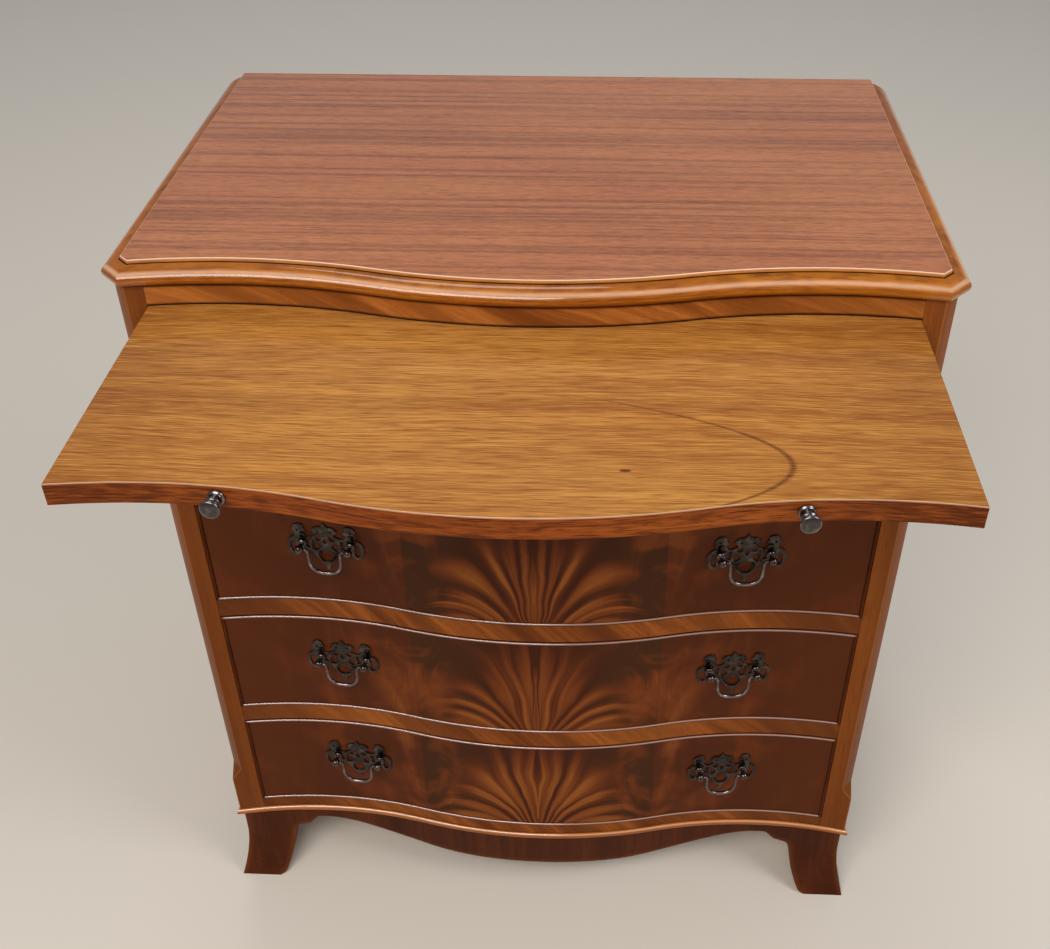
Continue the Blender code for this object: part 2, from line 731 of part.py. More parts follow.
def build_slide(chest):
    """Add the slide, drawn closed and then carried out by its empty to the photographed place."""
    slide = anchor("slide_axis", (0.0, -SLIDE_TRAVEL, 0.0), chest)
    place("slide_board", slide_board_mesh(), slide, GOLDEN_MAHOGANY, 0.3)
    knob = knob_mesh()
    for hand, x in (("left", -KNOB_X), ("right", KNOB_X)):
        place(f"slide_knob_{hand}", knob, slide, ANTIQUE_BRASS, 0.35, 1.0, knob_matrix(x))


# Drawers, drawn with z = 0 at the lower edge of the front

DRAWER_HALF = OPENING_WIDTH / 2 - DRAWER_CLEARANCE
DRAWER_HEIGHT = DRAWER_OPENING_HEIGHT - DRAWER_CLEARANCE - GLUE_GAP
SEAT_Y = front_y(DRAWER_HALF) + FRONT_RECESS + FRONT_THICKNESS - 0.0015
INNER_HALF = DRAWER_HALF - DRAWER_SIDE_THICKNESS
FACE_HALF = DRAWER_HALF - BEAD_THICKNESS - GLUE_GAP
SIDE_TOP = DRAWER_HEIGHT - SIDE_DROP


def tail_edge(shoulder, tip, grow=0.0):
    """Return a dovetailed edge as (y, z) points going up, with the tails grown by a gap."""
    end = tip + math.copysign(grow, tip - shoulder)
    points = []
    for i in range(TAIL_COUNT):
        middle = SIDE_TOP * (i + 0.5) / TAIL_COUNT
        narrow = TAIL_WIDTH / 2 + grow
        wide = narrow + abs(end - shoulder) * TAIL_SLOPE
        points += [(shoulder, middle - narrow), (end, middle - wide)]
        points += [(end, middle + wide), (shoulder, middle + narrow)]
    return points


def socket_cutter(shoulder, tip, away):
    """Return the cutter for the right joint: the side's tails with a gap, on a body reaching to away."""
    over = 0.002
    outline = [(away, -over), (shoulder, -over)]
    outline += tail_edge(shoulder, tip, GLUE_GAP)
    outline += [(shoulder, DRAWER_HEIGHT + over), (away, DRAWER_HEIGHT + over)]
    return prism("socket", outline, "x", INNER_HALF - GLUE_GAP, DRAWER_HALF + over)


def drawer_side_mesh(groove):
    """Make the right drawer side: an outline with dovetails at both ends, grooved for the bottom."""
    shoulder = SEAT_Y + GLUE_GAP
    rear = DRAWER_DEPTH - DRAWER_BACK_THICKNESS - GLUE_GAP
    outline = [(shoulder, 0.0)]
    outline += tail_edge(shoulder, shoulder - TAIL_LENGTH)
    outline += [(shoulder, SIDE_TOP), (rear, SIDE_TOP)]
    outline += reversed(tail_edge(rear, DRAWER_DEPTH))
    outline.append((rear, 0.0))
    side = prism("drawer_side", outline, "x", INNER_HALF, DRAWER_HALF)
    return carve("drawer_side", side, [groove])


def bottom_panel(name, grow=0.0):
    """Make the drawer's bottom panel, or the groove that it fills when grown by a gap."""
    half = INNER_HALF + GROOVE_DEPTH - GLUE_GAP + grow
    low = BOTTOM_RISE - grow
    high = BOTTOM_RISE + DRAWER_BOTTOM_THICKNESS + grow
    out = GROOVE_DEPTH - GLUE_GAP + grow - FRONT_RECESS - FRONT_THICKNESS
    return curved_board(name, half, low, high, back_y=DRAWER_DEPTH + grow, out=out)


def drawer_front_mesh(groove, drills):
    """Make the drawer front: rebated for its cockbeads, socketed for the sides, grooved and drilled."""
    rebate = DRAWER_HALF - FACE_HALF
    full = spread(-DRAWER_HALF, DRAWER_HALF, STATIONS)
    face = spread(-FACE_HALF, FACE_HALF, STATIONS)
    face_out = -FRONT_RECESS
    step_out = -FRONT_RECESS - BEAD_DEPTH
    back_out = -FRONT_RECESS - FRONT_THICKNESS
    rings = []
    for xs, out, low, high in ((face, face_out, rebate, DRAWER_HEIGHT - rebate),
                               (face, step_out, rebate, DRAWER_HEIGHT - rebate),
                               (full, step_out, 0.0, DRAWER_HEIGHT), (full, back_out, 0.0, DRAWER_HEIGHT)):
        rings.append((row(xs, low, out), row(xs, high, out)))
    front = row_solid("drawer_front", rings)
    socket = socket_cutter(SEAT_Y, SEAT_Y + GLUE_GAP - TAIL_LENGTH, SEAT_Y + 0.012)
    front = carve("drawer_front", front, [socket, mirrored(socket)])
    return carve("drawer_front", front, [groove] + drills)


def drawer_back_mesh():
    """Make the drawer back: it stands on the bottom panel and takes the sides' rear dovetails."""
    low = BOTTOM_RISE + DRAWER_BOTTOM_THICKNESS + GLUE_GAP
    front = DRAWER_DEPTH - DRAWER_BACK_THICKNESS
    back = block("drawer_back", (-DRAWER_HALF, DRAWER_HALF), (front, DRAWER_DEPTH), (low, SIDE_TOP))
    shoulder = front - GLUE_GAP
    socket = socket_cutter(shoulder, DRAWER_DEPTH, shoulder - 0.002)
    return carve("drawer_back", back, [socket, mirrored(socket)])


def bead_section():
    """Return a cockbead's section as (outward, across) pairs: a square back and a rounded nose."""
    nose = BEAD_PROUD
    back = GLUE_GAP - BEAD_DEPTH
    round_off = BEAD_THICKNESS * 0.35
    return [(back, 0.0), (nose - round_off, 0.0), (nose, BEAD_THICKNESS / 2),
            (nose - round_off, BEAD_THICKNESS), (back, BEAD_THICKNESS)]


def cockbead_mesh():
    """Run the bead's section round a drawer front: two serpentine and two upright lengths, mitred."""
    inner = [(x, 0) for x in spread(-1.0, 1.0, STATIONS)]
    rings = []
    for share, level in inner + [(x, 1) for x, _ in reversed(inner)]:
        ring = []
        for out, across in bead_section():
            corner = DRAWER_HALF - across
            x = share * (corner if abs(share) == 1.0 else DRAWER_HALF)
            z = DRAWER_HEIGHT - across if level else across
            ring.append((x, front_y(x, out - FRONT_RECESS), z))
        rings.append(ring)
    loop = len(rings[0])
    verts = [point for ring in rings for point in ring]
    faces = ring_walls(len(rings), loop)
    last = len(verts) - loop
    faces += [(last + i, last + (i + 1) % loop, (i + 1) % loop, i) for i in range(loop)]
    return closed_mesh("cockbead", verts, faces)


# Pierced backplate, right half, in millimetres from the middle of the posts: the outline's corners
# go clockwise from the top, each with the bulge of the arc to the next one, which is the arc's
# height over half its chord, outward when positive

PLATE_OUTLINE = [
    (0.0, 27.0, 0.0), (2.0, 24.0, 0.12), (13.4, 18.6, -0.35), (12.4, 10.4, -0.42), (26.4, 17.2, 0.2),
    (20.8, 20.4, 0.85), (33.0, 21.4, -0.08), (31.6, 9.4, 0.1), (36.2, 5.4, 0.45), (33.6, -14.4, 0.2),
    (22.6, -9.4, -0.1), (17.4, -8.4, 0.12), (7.8, -26.4, -0.2), (2.6, -29.0, 0.1), (0.0, -33.0, 0.0),
]
PLATE_SIDE_OPENINGS = [
    [(31.8, 3.6), (35.8, 0.4), (35.4, -7.0), (31.4, -10.6), (30.2, -5.6)],
    [(14.0, 6.8), (18.6, 6.2), (19.0, -4.6), (15.4, -4.6)],
    [(8.4, 4.0), (11.6, -4.0), (9.4, -13.6), (5.8, -5.6)],
]
PLATE_MIDDLE_OPENINGS = [
    [(0.0, 10.0), (4.4, 3.6), (0.0, -1.4), (-4.4, 3.6)],
    [(0.0, -10.0), (5.2, -17.2), (2.8, -23.6), (-2.8, -23.6), (-5.2, -17.2)],
]
PLATE_UNIT = 0.001
PLATE_ARC_STEP = math.radians(55)


def arc_points(corners):
    """Return points along an outline whose corners carry the bulge of the arc that follows them."""
    points = []
    for (x, z, bulge), (next_x, next_z, _) in zip(corners, corners[1:]):
        start, end = Vector((x, z)), Vector((next_x, next_z))
        chord = end - start
        outward = Vector((-chord.y, chord.x)).normalized()
        turn = 4 * math.atan(bulge)
        count = max(1, round(abs(turn) / PLATE_ARC_STEP))
        for i in range(count):
            share = i / count
            height = 0.0
            if bulge:
                angle = turn * (share - 0.5)
                radius = chord.length / 2 / math.sin(turn / 2)
                share = 0.5 + radius * math.sin(angle) / chord.length
                height = radius * (math.cos(angle) - math.cos(turn / 2))
            points.append(start + chord * share + outward * height)
    return [(point.x, point.y) for point in points] + [corners[-1][:2]]


def plate_loops():
    """Return the plate's outline and its openings, both halves, in metres."""
    def scaled(points, side=1.0):
        return [(side * x * PLATE_UNIT, z * PLATE_UNIT) for x, z in points]
    right = scaled(arc_points(PLATE_OUTLINE))
    left = [(-x, z) for x, z in reversed(right[1:-1])]
    loops = [right + left]
    for opening in PLATE_SIDE_OPENINGS:
        loops += [scaled(opening), scaled(opening, -1.0)]
    loops += [scaled(opening) for opening in PLATE_MIDDLE_OPENINGS]
    return loops


def handle_matrix(x, z):
    """Return the place of a handle on the drawer front: X along the curve, -Y outward."""
    y = chord_y(x, FACE_HALF, -FRONT_RECESS)
    return Matrix.Translation((x, y, z)) @ Matrix.Rotation(front_slope(x), 4, "Z")


def seat_depth(x):
    """Return the handle's local y at which the plate's face lies under a post."""
    frame = handle_matrix(x, 0.0)
    angle = front_slope(x)
    at = x + POST_SPACING / 2 * math.cos(angle)
    out = PLATE_THICKNESS + GLUE_GAP - FRONT_RECESS
    return (frame.inverted() @ Vector((at, chord_y(at, FACE_HALF, out), 0.0))).y


def backplate_mesh(x, z):
    """Make one pierced plate, bent to the curve of the drawer front."""
    angle = front_slope(x)
    work = bmesh.new()
    for loop in plate_loops():
        points = [work.verts.new((u, 0.0, w)) for u, w in loop]
        for i, point in enumerate(points):
            work.edges.new((point, points[(i + 1) % len(points)]))
    bmesh.ops.triangle_fill(work, edges=work.edges[:], use_beauty=True, normal=(0.0, -1.0, 0.0))
    flat = bpy.data.meshes.new("plate_flat")
    work.to_mesh(flat)
    work.free()
    count = len(flat.vertices)
    verts = []
    for out in (GLUE_GAP, GLUE_GAP + PLATE_THICKNESS):
        for vertex in flat.vertices:
            at = x + vertex.co.x * math.cos(angle)
            verts.append((at, chord_y(at, FACE_HALF, out - FRONT_RECESS), z + vertex.co.z))
    faces = [tuple(face.vertices) for face in flat.polygons]
    shell = faces + [tuple(count + i for i in reversed(face)) for face in faces]
    uses = {}
    for face in faces:
        for i, corner in enumerate(face):
            pair = (corner, face[(i + 1) % len(face)])
            uses[frozenset(pair)] = uses.get(frozenset(pair), []) + [pair]
    for pairs in uses.values():
        if len(pairs) == 1:
            a, b = pairs[0]
            shell.append((b, a, count + a, count + b))
    return closed_mesh("backplate", verts, shell)


def post_mesh(seat, side):
    """Make one bail post in the handle's frame: head, neck and collar, shank and nut."""
    pivot = seat - PIVOT_OUT
    nut = FRONT_THICKNESS + GLUE_GAP + 0.0012
    inside = seat + PLATE_THICKNESS * 0.4
    profile = [
        (pivot - HEAD_RADIUS, HEAD_RADIUS * 0.35), (pivot - HEAD_RADIUS * 0.55, HEAD_RADIUS * 0.84),
        (pivot + HEAD_RADIUS * 0.3, HEAD_RADIUS * 0.95), (pivot + HEAD_RADIUS * 0.95, POST_RADIUS * 1.1),
        (seat - 0.0006, HEAD_RADIUS * 0.9), (inside, HEAD_RADIUS * 0.9), (inside, POST_RADIUS),
        (nut, POST_RADIUS), (nut, NUT_RADIUS), (nut + NUT_THICKNESS, NUT_RADIUS),
    ]
    return shifted(turned("post", profile, 8), x=side * POST_SPACING / 2)


def pin_drill(seat, side):
    """Return the drill for a bail's pin, across a post's head."""
    pivot = seat - PIVOT_OUT
    bore = PIN_RADIUS + PIN_CLEARANCE
    middle = side * POST_SPACING / 2
    angles = [math.radians(60 * i + 30) for i in range(6)]
    return ring_solid("drill", [[(x, pivot + bore * math.sin(a), bore * math.cos(a)) for a in angles]
                                for x in (middle - 2 * HEAD_RADIUS, middle + 2 * HEAD_RADIUS)])


def backplate_with_posts(x, z, seat):
    """Make one pierced plate in one body with its two drilled posts."""
    matrix = handle_matrix(x, z)
    ends = (-1, 1)
    body = fuse("backplate", backplate_mesh(x, z), [moved(post_mesh(seat, end), matrix) for end in ends])
    return carve("backplate", body, [moved(pin_drill(seat, end), matrix) for end in ends])


def bail_path():
    """Return half of the bail as (x, z, radius): a pin, a quick bend, a straight arm and a round foot."""
    head_in = POST_SPACING / 2 - HEAD_RADIUS - GLUE_GAP
    half = BAIL_HALF_WIDTH
    waist = half * 0.975
    knee = BAIL_DROP * 0.42
    path = [(POST_SPACING / 2 + HEAD_RADIUS * 0.6, 0.0, PIN_RADIUS), (head_in, 0.0, PIN_RADIUS)]
    for angle in (40, 90):
        turn = math.radians(angle)
        x = half + BAIL_BEND * (1 - math.sin(turn))
        path.append((x, -BAIL_BEND * (1 - math.cos(turn)), BAIL_RADIUS))
    path.append((waist, -knee, BAIL_RADIUS))
    for angle in (27, 50, 72):
        turn = math.radians(angle)
        x = waist * math.cos(turn)**0.8
        z = -knee - (BAIL_DROP - knee) * math.sin(turn)**0.8
        path.append((x, z, BAIL_RADIUS))
    return path


def bail_mesh():
    """Sweep a six-sided rod round the bail's path, in the plane y = 0, from pin to pin."""
    right = bail_path()
    path = right + [(0.0, -BAIL_DROP, BAIL_RADIUS)] + [(-x, z, r) for x, z, r in reversed(right)]
    rings = []
    for i, (x, z, radius) in enumerate(path):
        before = Vector(path[max(i - 1, 0)][:2])
        after = Vector(path[min(i + 1, len(path) - 1)][:2])
        along = (after - before).normalized()
        normal = Vector((-along.y, along.x))
        ring = []
        for k in range(6):
            angle = math.radians(60 * k)
            offset = normal * (radius * math.cos(angle))
            ring.append((x + offset.x, radius * math.sin(angle), z + offset.y))
        rings.append(ring)
    return ring_solid("bail", rings)


def shank_drill(seat, side):
    """Return the drill for a post's hole through the drawer front, in the handle's frame."""
    radius = (POST_RADIUS + GLUE_GAP) / math.cos(math.radians(30))
    drill = turned("drill", [(seat - 0.02, radius), (FRONT_THICKNESS + 0.02, radius)], 6)
    return shifted(drill, x=side * POST_SPACING / 2)


def build_drawers(chest):
    """Make each drawer piece once and place it in every opening."""
    handle_z = DRAWER_HEIGHT / 2 + HANDLE_RISE
    handles = {"left": handle_matrix(-HANDLE_X, handle_z), "right": handle_matrix(HANDLE_X, handle_z)}
    seat = seat_depth(HANDLE_X)
    drills = [moved(shank_drill(seat, side), matrix) for matrix in handles.values() for side in (-1, 1)]
    groove = bottom_panel("groove", GLUE_GAP)
    side = drawer_side_mesh(groove)
    bail = bail_mesh()
    pieces = [
        ("front", drawer_front_mesh(groove, drills), FLAME_MAHOGANY, 0.3, 0.0),
        ("cockbead", cockbead_mesh(), MAHOGANY, 0.3, 0.0),
        ("side_left", mirrored(side), SECONDARY_WOOD, 0.6, 0.0),
        ("side_right", side, SECONDARY_WOOD, 0.6, 0.0),
        ("back", drawer_back_mesh(), SECONDARY_WOOD, 0.6, 0.0),
        ("bottom", bottom_panel("drawer_bottom"), SECONDARY_WOOD, 0.6, 0.0),
        ("backplate_left", backplate_with_posts(-HANDLE_X, handle_z, seat), ANTIQUE_BRASS, 0.45, 1.0),
        ("backplate_right", backplate_with_posts(HANDLE_X, handle_z, seat), ANTIQUE_BRASS, 0.45, 1.0),
    ]
    for number in range(1, DRAWER_COUNT + 1):
        floor = opening_low(number) + GLUE_GAP
        drawer = anchor(f"drawer_{number}_axis", (0.0, 0.0, floor), chest)
        for part, mesh, color, roughness, metallic in pieces:
            place(f"drawer_{number}_{part}", mesh, drawer, color, roughness, metallic)
        for hand, matrix in handles.items():
            pivot = matrix @ Matrix.Translation((0.0, seat - PIVOT_OUT, 0.0))
            place(f"drawer_{number}_bail_{hand}", bail, drawer, ANTIQUE_BRASS, 0.35, 1.0, pivot)


def main():
    """Clear the scene and build the chest."""
    for item in list(bpy.data.objects):
        bpy.data.objects.remove(item)
    front_most = min(front_y(0.0), front_y(KNOB_X) - KNOB_PROJECTION) - SLIDE_TRAVEL
    middle = (front_most + CARCASS_DEPTH + TOP_OVERHANG_BACK) / 2
    chest = anchor("chest_origin", (0.0, -middle, 0.0))
    build_base(chest)
    build_carcass(chest)
    build_slide(chest)
    build_drawers(chest)


main()
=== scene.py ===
# %% [markdown]
# # A serpentine chest of drawers
#
# The chest has a front that swells in the middle and hollows towards its corners, four long drawers,
# and a brushing slide that pulls out over them. The solids that carry it are loaded first. Every
# visible piece is then drawn again as a fine surface, or keeps its solid and gets a better finish.

import json
import math

import bmesh
import bpy
import numpy as np
from mathutils import Matrix, Vector


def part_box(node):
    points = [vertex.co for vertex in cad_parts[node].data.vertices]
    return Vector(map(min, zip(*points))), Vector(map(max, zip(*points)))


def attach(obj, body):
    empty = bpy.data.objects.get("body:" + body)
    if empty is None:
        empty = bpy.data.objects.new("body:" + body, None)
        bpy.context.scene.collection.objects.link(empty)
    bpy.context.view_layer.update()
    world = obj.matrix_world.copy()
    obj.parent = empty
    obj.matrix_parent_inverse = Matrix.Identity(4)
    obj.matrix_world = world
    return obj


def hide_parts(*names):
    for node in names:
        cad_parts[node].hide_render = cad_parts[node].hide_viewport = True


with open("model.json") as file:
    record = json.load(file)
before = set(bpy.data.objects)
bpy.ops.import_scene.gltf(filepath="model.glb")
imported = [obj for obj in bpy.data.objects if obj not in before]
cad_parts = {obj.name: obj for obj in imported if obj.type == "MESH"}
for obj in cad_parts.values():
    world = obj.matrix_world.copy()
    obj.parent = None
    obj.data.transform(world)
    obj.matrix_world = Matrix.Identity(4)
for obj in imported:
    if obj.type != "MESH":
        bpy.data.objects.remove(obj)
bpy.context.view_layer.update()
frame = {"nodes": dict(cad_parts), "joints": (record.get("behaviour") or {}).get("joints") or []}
nodes = frame["nodes"]

# %% [markdown]
# ## Sizes
#
# The drawn surfaces have to lie where the solids lie, so the plan of the front is repeated here as the
# same tangent arcs, and heights are read from the frame. The solids were drawn from the line of the
# stiles and then moved back, so that move is read from the back panel.

# %% Sizes that the surfaces share
CENTRE_RADIUS = 0.584
HOLLOW_RADIUS = 0.519
HOLLOW_X = 0.258
OPENING_WIDTH = 0.670
STILE_WIDTH = 0.0288
CARCASS_DEPTH = 0.463
RAIL_DEPTH = 0.055
GLUE_GAP = 0.0003
CARCASS_HALF = OPENING_WIDTH / 2 + STILE_WIDTH

RADII = CENTRE_RADIUS + HOLLOW_RADIUS
HOLLOW_DEPTH = RADII - math.sqrt(RADII**2 - HOLLOW_X**2)
EDGE_FROM_HOLLOW = OPENING_WIDTH / 2 - HOLLOW_X
STILE_LINE = HOLLOW_DEPTH - HOLLOW_RADIUS + math.sqrt(HOLLOW_RADIUS**2 - EDGE_FROM_HOLLOW**2)
STILE_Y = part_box("back_panel")[1].y - CARCASS_DEPTH


def front_line(x, out=0.0):
    """Return y of the front at x, moved outward by out.

    In words: a circle of the centre radius bulges forward, a circle of the hollow radius curves back
    on each side, and they share a tangent. Moved outward, the first radius grows and the second
    shrinks by the same length, so every moulding runs parallel to the front.
    """
    across = np.abs(x)
    convex = CENTRE_RADIUS + out
    hollow = HOLLOW_RADIUS - out
    meet = HOLLOW_X * convex / (convex + hollow)
    swell = CENTRE_RADIUS - np.sqrt(np.maximum(convex**2 - across**2, 0.0))
    sink = HOLLOW_DEPTH - HOLLOW_RADIUS + np.sqrt(hollow**2 - (across - HOLLOW_X)**2)
    return np.where(across < meet, swell, sink) - STILE_LINE + STILE_Y


print("front at the middle", float(front_line(0.0)), "and at the stile", float(front_line(OPENING_WIDTH / 2)))

# %% [markdown]
# ## Camera
#
# The photograph was taken from above and a little to the right. A camera could be set by eye, but
# this one was worked out from the edges of the chest: its place, its three turns and its focal length
# in pixels of the photograph's frame. A small shift keeps the framing without turning the camera.

# %% Camera
PHOTO_WIDTH = 1050
SENSOR_WIDTH = 36.0
FOCAL_PIXELS = 1250.546
CAMERA_PLACE = (0.06611, -1.03835, 1.33688)
CAMERA_YAW = -0.05160
CAMERA_PITCH = 0.67021
CAMERA_ROLL = -0.00767
CAMERA_SHIFT = (-0.02531, 0.02809)

ahead = Vector((math.sin(CAMERA_YAW) * math.cos(CAMERA_PITCH),
                math.cos(CAMERA_YAW) * math.cos(CAMERA_PITCH), -math.sin(CAMERA_PITCH)))
level = Vector((math.cos(CAMERA_YAW), -math.sin(CAMERA_YAW), 0.0))
rise = level.cross(ahead)
right = level * math.cos(CAMERA_ROLL) + rise * math.sin(CAMERA_ROLL)
up = rise * math.cos(CAMERA_ROLL) - level * math.sin(CAMERA_ROLL)
turn = Matrix((right, up, -ahead)).transposed().to_4x4()

scene = bpy.context.scene
camera_data = bpy.data.cameras.new("photo_camera")
camera_data.sensor_width = SENSOR_WIDTH
camera_data.lens = FOCAL_PIXELS * SENSOR_WIDTH / PHOTO_WIDTH
camera_data.shift_x, camera_data.shift_y = CAMERA_SHIFT
camera = bpy.data.objects.new("photo_camera", camera_data)
camera.matrix_world = Matrix.Translation(CAMERA_PLACE) @ turn
scene.collection.objects.link(camera)
scene.camera = camera
print("camera lens", round(camera_data.lens, 2), "mm")

# %% [markdown]
# ## Light and floor
#
# Polished wood shows what it mirrors, so the light matters as much as the colour. One window-like
# lamp in front and above adds its reflection to the highlights painted along the beads, a weaker one
# fills from the other side, a third lights the top from behind, and a soft sky fills the shadows.
# Together they come to a plain level, at which a colour renders about as it is written.

# %% Light and floor
SKY_TINT = (0.86, 0.92, 1.0, 1.0)
SKY_STRENGTH = 0.42
LAMPS = {  # name: place, point that it faces, width and length, watts, tint
    "window_lamp": ((-0.9, -2.3, 2.9), (0.0, 0.0, 0.7), (2.2, 1.3), 80.0, (1.0, 0.97, 0.93)),
    "fill_lamp": ((2.4, -0.9, 2.4), (0.0, 0.0, 0.5), (1.4, 1.4), 40.0, (0.92, 0.95, 1.0)),
    "rear_lamp": ((-0.6, 2.7, 4.4), (0.0, 0.2, 0.6), (1.6, 1.0), 40.0, (0.95, 0.97, 1.0)),
}
FLOOR_HALF = 9.0
FLOOR_FINISH = {"Base Color": (0.66, 0.59, 0.50, 1.0), "Roughness": 0.9, "Specular IOR Level": 0.1}

scene.view_settings.view_transform = "Standard"
world = bpy.data.worlds.new("soft_sky")
world.use_nodes = True
sky = world.node_tree.nodes["Background"]
sky.inputs["Color"].default_value = SKY_TINT
sky.inputs["Strength"].default_value = SKY_STRENGTH
scene.world = world

for name, (place, aim, size, watts, tint) in LAMPS.items():
    data = bpy.data.lights.new(name, "AREA")
    data.shape = "RECTANGLE"
    data.size, data.size_y = size
    data.energy = watts
    data.color = tint
    item = bpy.data.objects.new(name, data)
    item.location = place
    item.rotation_euler = (Vector(aim) - Vector(place)).to_track_quat("-Z", "Y").to_euler()
    scene.collection.objects.link(item)


def start_finish(name):
    """Return a new material and its Principled shader."""
    material = bpy.data.materials.new(name)
    material.use_nodes = True
    return material, material.node_tree.nodes["Principled BSDF"]


def set_inputs(shader, values):
    """Write constants straight onto the sockets of a shader."""
    for key, value in values.items():
        shader.inputs[key].default_value = value


floor_mesh = bpy.data.meshes.new("floor")
floor_corners = [(x * FLOOR_HALF, y * FLOOR_HALF, 0.0) for x, y in ((-1, -1), (1, -1), (1, 1), (-1, 1))]
floor_mesh.from_pydata(floor_corners, [], [(0, 1, 2, 3)])
floor = bpy.data.objects.new("floor", floor_mesh)
scene.collection.objects.link(floor)
floor_finish, floor_shader = start_finish("pale_floor")
set_inputs(floor_shader, FLOOR_FINISH)
floor_mesh.materials.append(floor_finish)
print("light and floor are set")

# %% [markdown]
# ## Shader arithmetic
#
# A finish is a small calculation: where am I on the board, which streak of the grain is that, how dark
# is it there. Written node by node that is hard to read. The class below wraps one socket of a node,
# and its operators add the Math nodes, so a finish can be written as the formula that it is.

# %% A wire that can be calculated with


class Wire:
    """One output socket of a material, with arithmetic that adds Math nodes."""

    def __init__(self, tree, socket=None):
        self.tree = tree
        self.socket = socket

    def add(self, kind, settings=None, inputs=None, out=0):
        """Add any node: its settings go in first, then values or wires go into its sockets."""
        node = self.tree.nodes.new(kind)
        for key, value in (settings or {}).items():
            setattr(node, key, value)
        for key, value in (inputs or {}).items():
            if isinstance(value, Wire):
                self.tree.links.new(value.socket, node.inputs[key])
            else:
                node.inputs[key].default_value = value
        return Wire(self.tree, node.outputs[out])

    def place(self):
        """Return the place in the object, in metres."""
        return self.add("ShaderNodeTexCoord", out="Object")

    def field(self, name, out="Fac"):
        """Return a field that the mesh carries on its points."""
        return self.add("ShaderNodeAttribute", {"attribute_name": name}, out=out)

    def split(self):
        """Return the three parts of a vector."""
        parts = self.add("ShaderNodeSeparateXYZ", None, {0: self})
        return [parts.out(axis) for axis in "XYZ"]

    def noise(self, place, scale=1.0, detail=2.0, distortion=0.0):
        """Return noise at a place, which may be given as three wires or numbers."""
        if isinstance(place, tuple):
            place = self.add("ShaderNodeCombineXYZ", None, dict(enumerate(place)))
        return self.add("ShaderNodeTexNoise", None,
                        {"Vector": place, "Scale": scale, "Detail": detail, "Distortion": distortion})

    def feed(self, shader, key):
        """Connect this value to an input of the shader."""
        self.tree.links.new(self.socket, shader.inputs[key])

    def out(self, key):
        """Return another output of the same node."""
        return Wire(self.tree, self.socket.node.outputs[key])

    def math(self, operation, first, second=0.0, clamp=False):
        """Add a Math node."""
        return self.add("ShaderNodeMath", {"operation": operation, "use_clamp": clamp}, {0: first, 1: second})

    def __add__(self, other):
        return self.math("ADD", self, other)

    def __radd__(self, other):
        return self.math("ADD", other, self)

    def __sub__(self, other):
        return self.math("SUBTRACT", self, other)

    def __rsub__(self, other):
        return self.math("SUBTRACT", other, self)

    def __mul__(self, other):
        return self.math("MULTIPLY", self, other)

    def __truediv__(self, other):
        return self.math("DIVIDE", self, other)

    def __abs__(self):
        return self.math("ABSOLUTE", self)

    def __pow__(self, other):
        return self.math("POWER", self, other)

    def clamped(self):
        """Return the value held between 0 and 1."""
        return self.math("ADD", self, 0.0, clamp=True)

    def between(self, low, high):
        """Return 0 below low and 1 above high, with a smooth rise between them."""
        return self.add("ShaderNodeMapRange", {"interpolation_type": "SMOOTHSTEP"},
                        {"Value": self, "From Min": low, "From Max": high})

    def below(self, low, high):
        """Return 1 below low and 0 above high, with a smooth fall between them."""
        return 1.0 - self.between(low, high)

    def mix(self, first, second):
        """Blend two colours by this value: 0 gives the first and 1 the second."""
        return self.add("ShaderNodeMix", {"data_type": "RGBA"}, {0: self, 6: first, 7: second}, out=2)


def tone(red, green, blue):
    """Return an opaque colour, read as 8-bit screen values, in the linear light that shaders use."""
    shares = (c / 255 for c in (red, green, blue))
    return (*(((s + 0.055) / 1.055)**2.4 if s > 0.0405 else s / 12.92 for s in shares), 1.0)


print("wires ready")

# %% [markdown]
# ## Wood
#
# Wood could be painted as a flat picture, but then the end of a board would not agree with its face.
# Here the grain is worked out in depth: noise that is stretched far along the grain and squeezed
# across it. Wide bands give the stripe of quarter-sawn mahogany, narrower ones its streaks, and very
# fine dashes the open pores, which are also pressed a little into the surface. One board also shows
# the loop of a growth ring and a knot. A piece that is bent or moulded carries its own grain
# coordinates, so that the grain follows the run of the moulding.

# %% Wood material
AXES = {"x": "XYZ", "y": "YXZ", "z": "ZXY"}
# The light tone serves worn edges and painted highlights; the dark tone is painted shade in recesses and
# gaps.
WEAR_AND_SHEEN_TONE = (196, 128, 66)
PAINTED_SHADE_TONE = (26, 12, 8)
PAINTED_SHADE_SHARE = 0.85
LOW_SPECULAR = 0.03
WOOD_RELIEF = 0.00005
FULL_COAT = 1.0
RING_CURVE = 22.0
RING_WIDTH = 0.0045
RING_FADE = 0.10
RING_SWAY = 0.02
KNOT_WIDTH = 0.0045
KNOT_HEIGHT = 0.0020
KNOT_OFF = 0.011
RING_TONE = (84, 38, 14)


def close_finish(wire, shader, colour, roughness, height, depth, coat, coat_roughness, coat_ior=1.5):
    """Connect the colour, the roughness and the relief of a finish to its shader, under its polish."""
    bump = wire.add("ShaderNodeBump", None, {"Height": height, "Strength": 1.0, "Distance": depth})
    colour.feed(shader, "Base Color")
    roughness.feed(shader, "Roughness")
    bump.feed(shader, "Normal")
    set_inputs(shader, {"Coat Weight": coat, "Coat Roughness": coat_roughness, "Coat IOR": coat_ior,
                        "Specular IOR Level": LOW_SPECULAR})


def wear_and_painted_light(wire, colour, amount, rub_and_sheen=WEAR_AND_SHEEN_TONE):
    """Lighten a colour where the edge field is above 0, as wear or a painted highlight, and darken it below
    0, as painted shade in recesses and gaps.
    """
    edge = wire.field("edge")
    lightened = (edge * amount).clamped().mix(colour, tone(*rub_and_sheen))
    return (edge * -PAINTED_SHADE_SHARE).clamped().mix(lightened, tone(*PAINTED_SHADE_TONE))


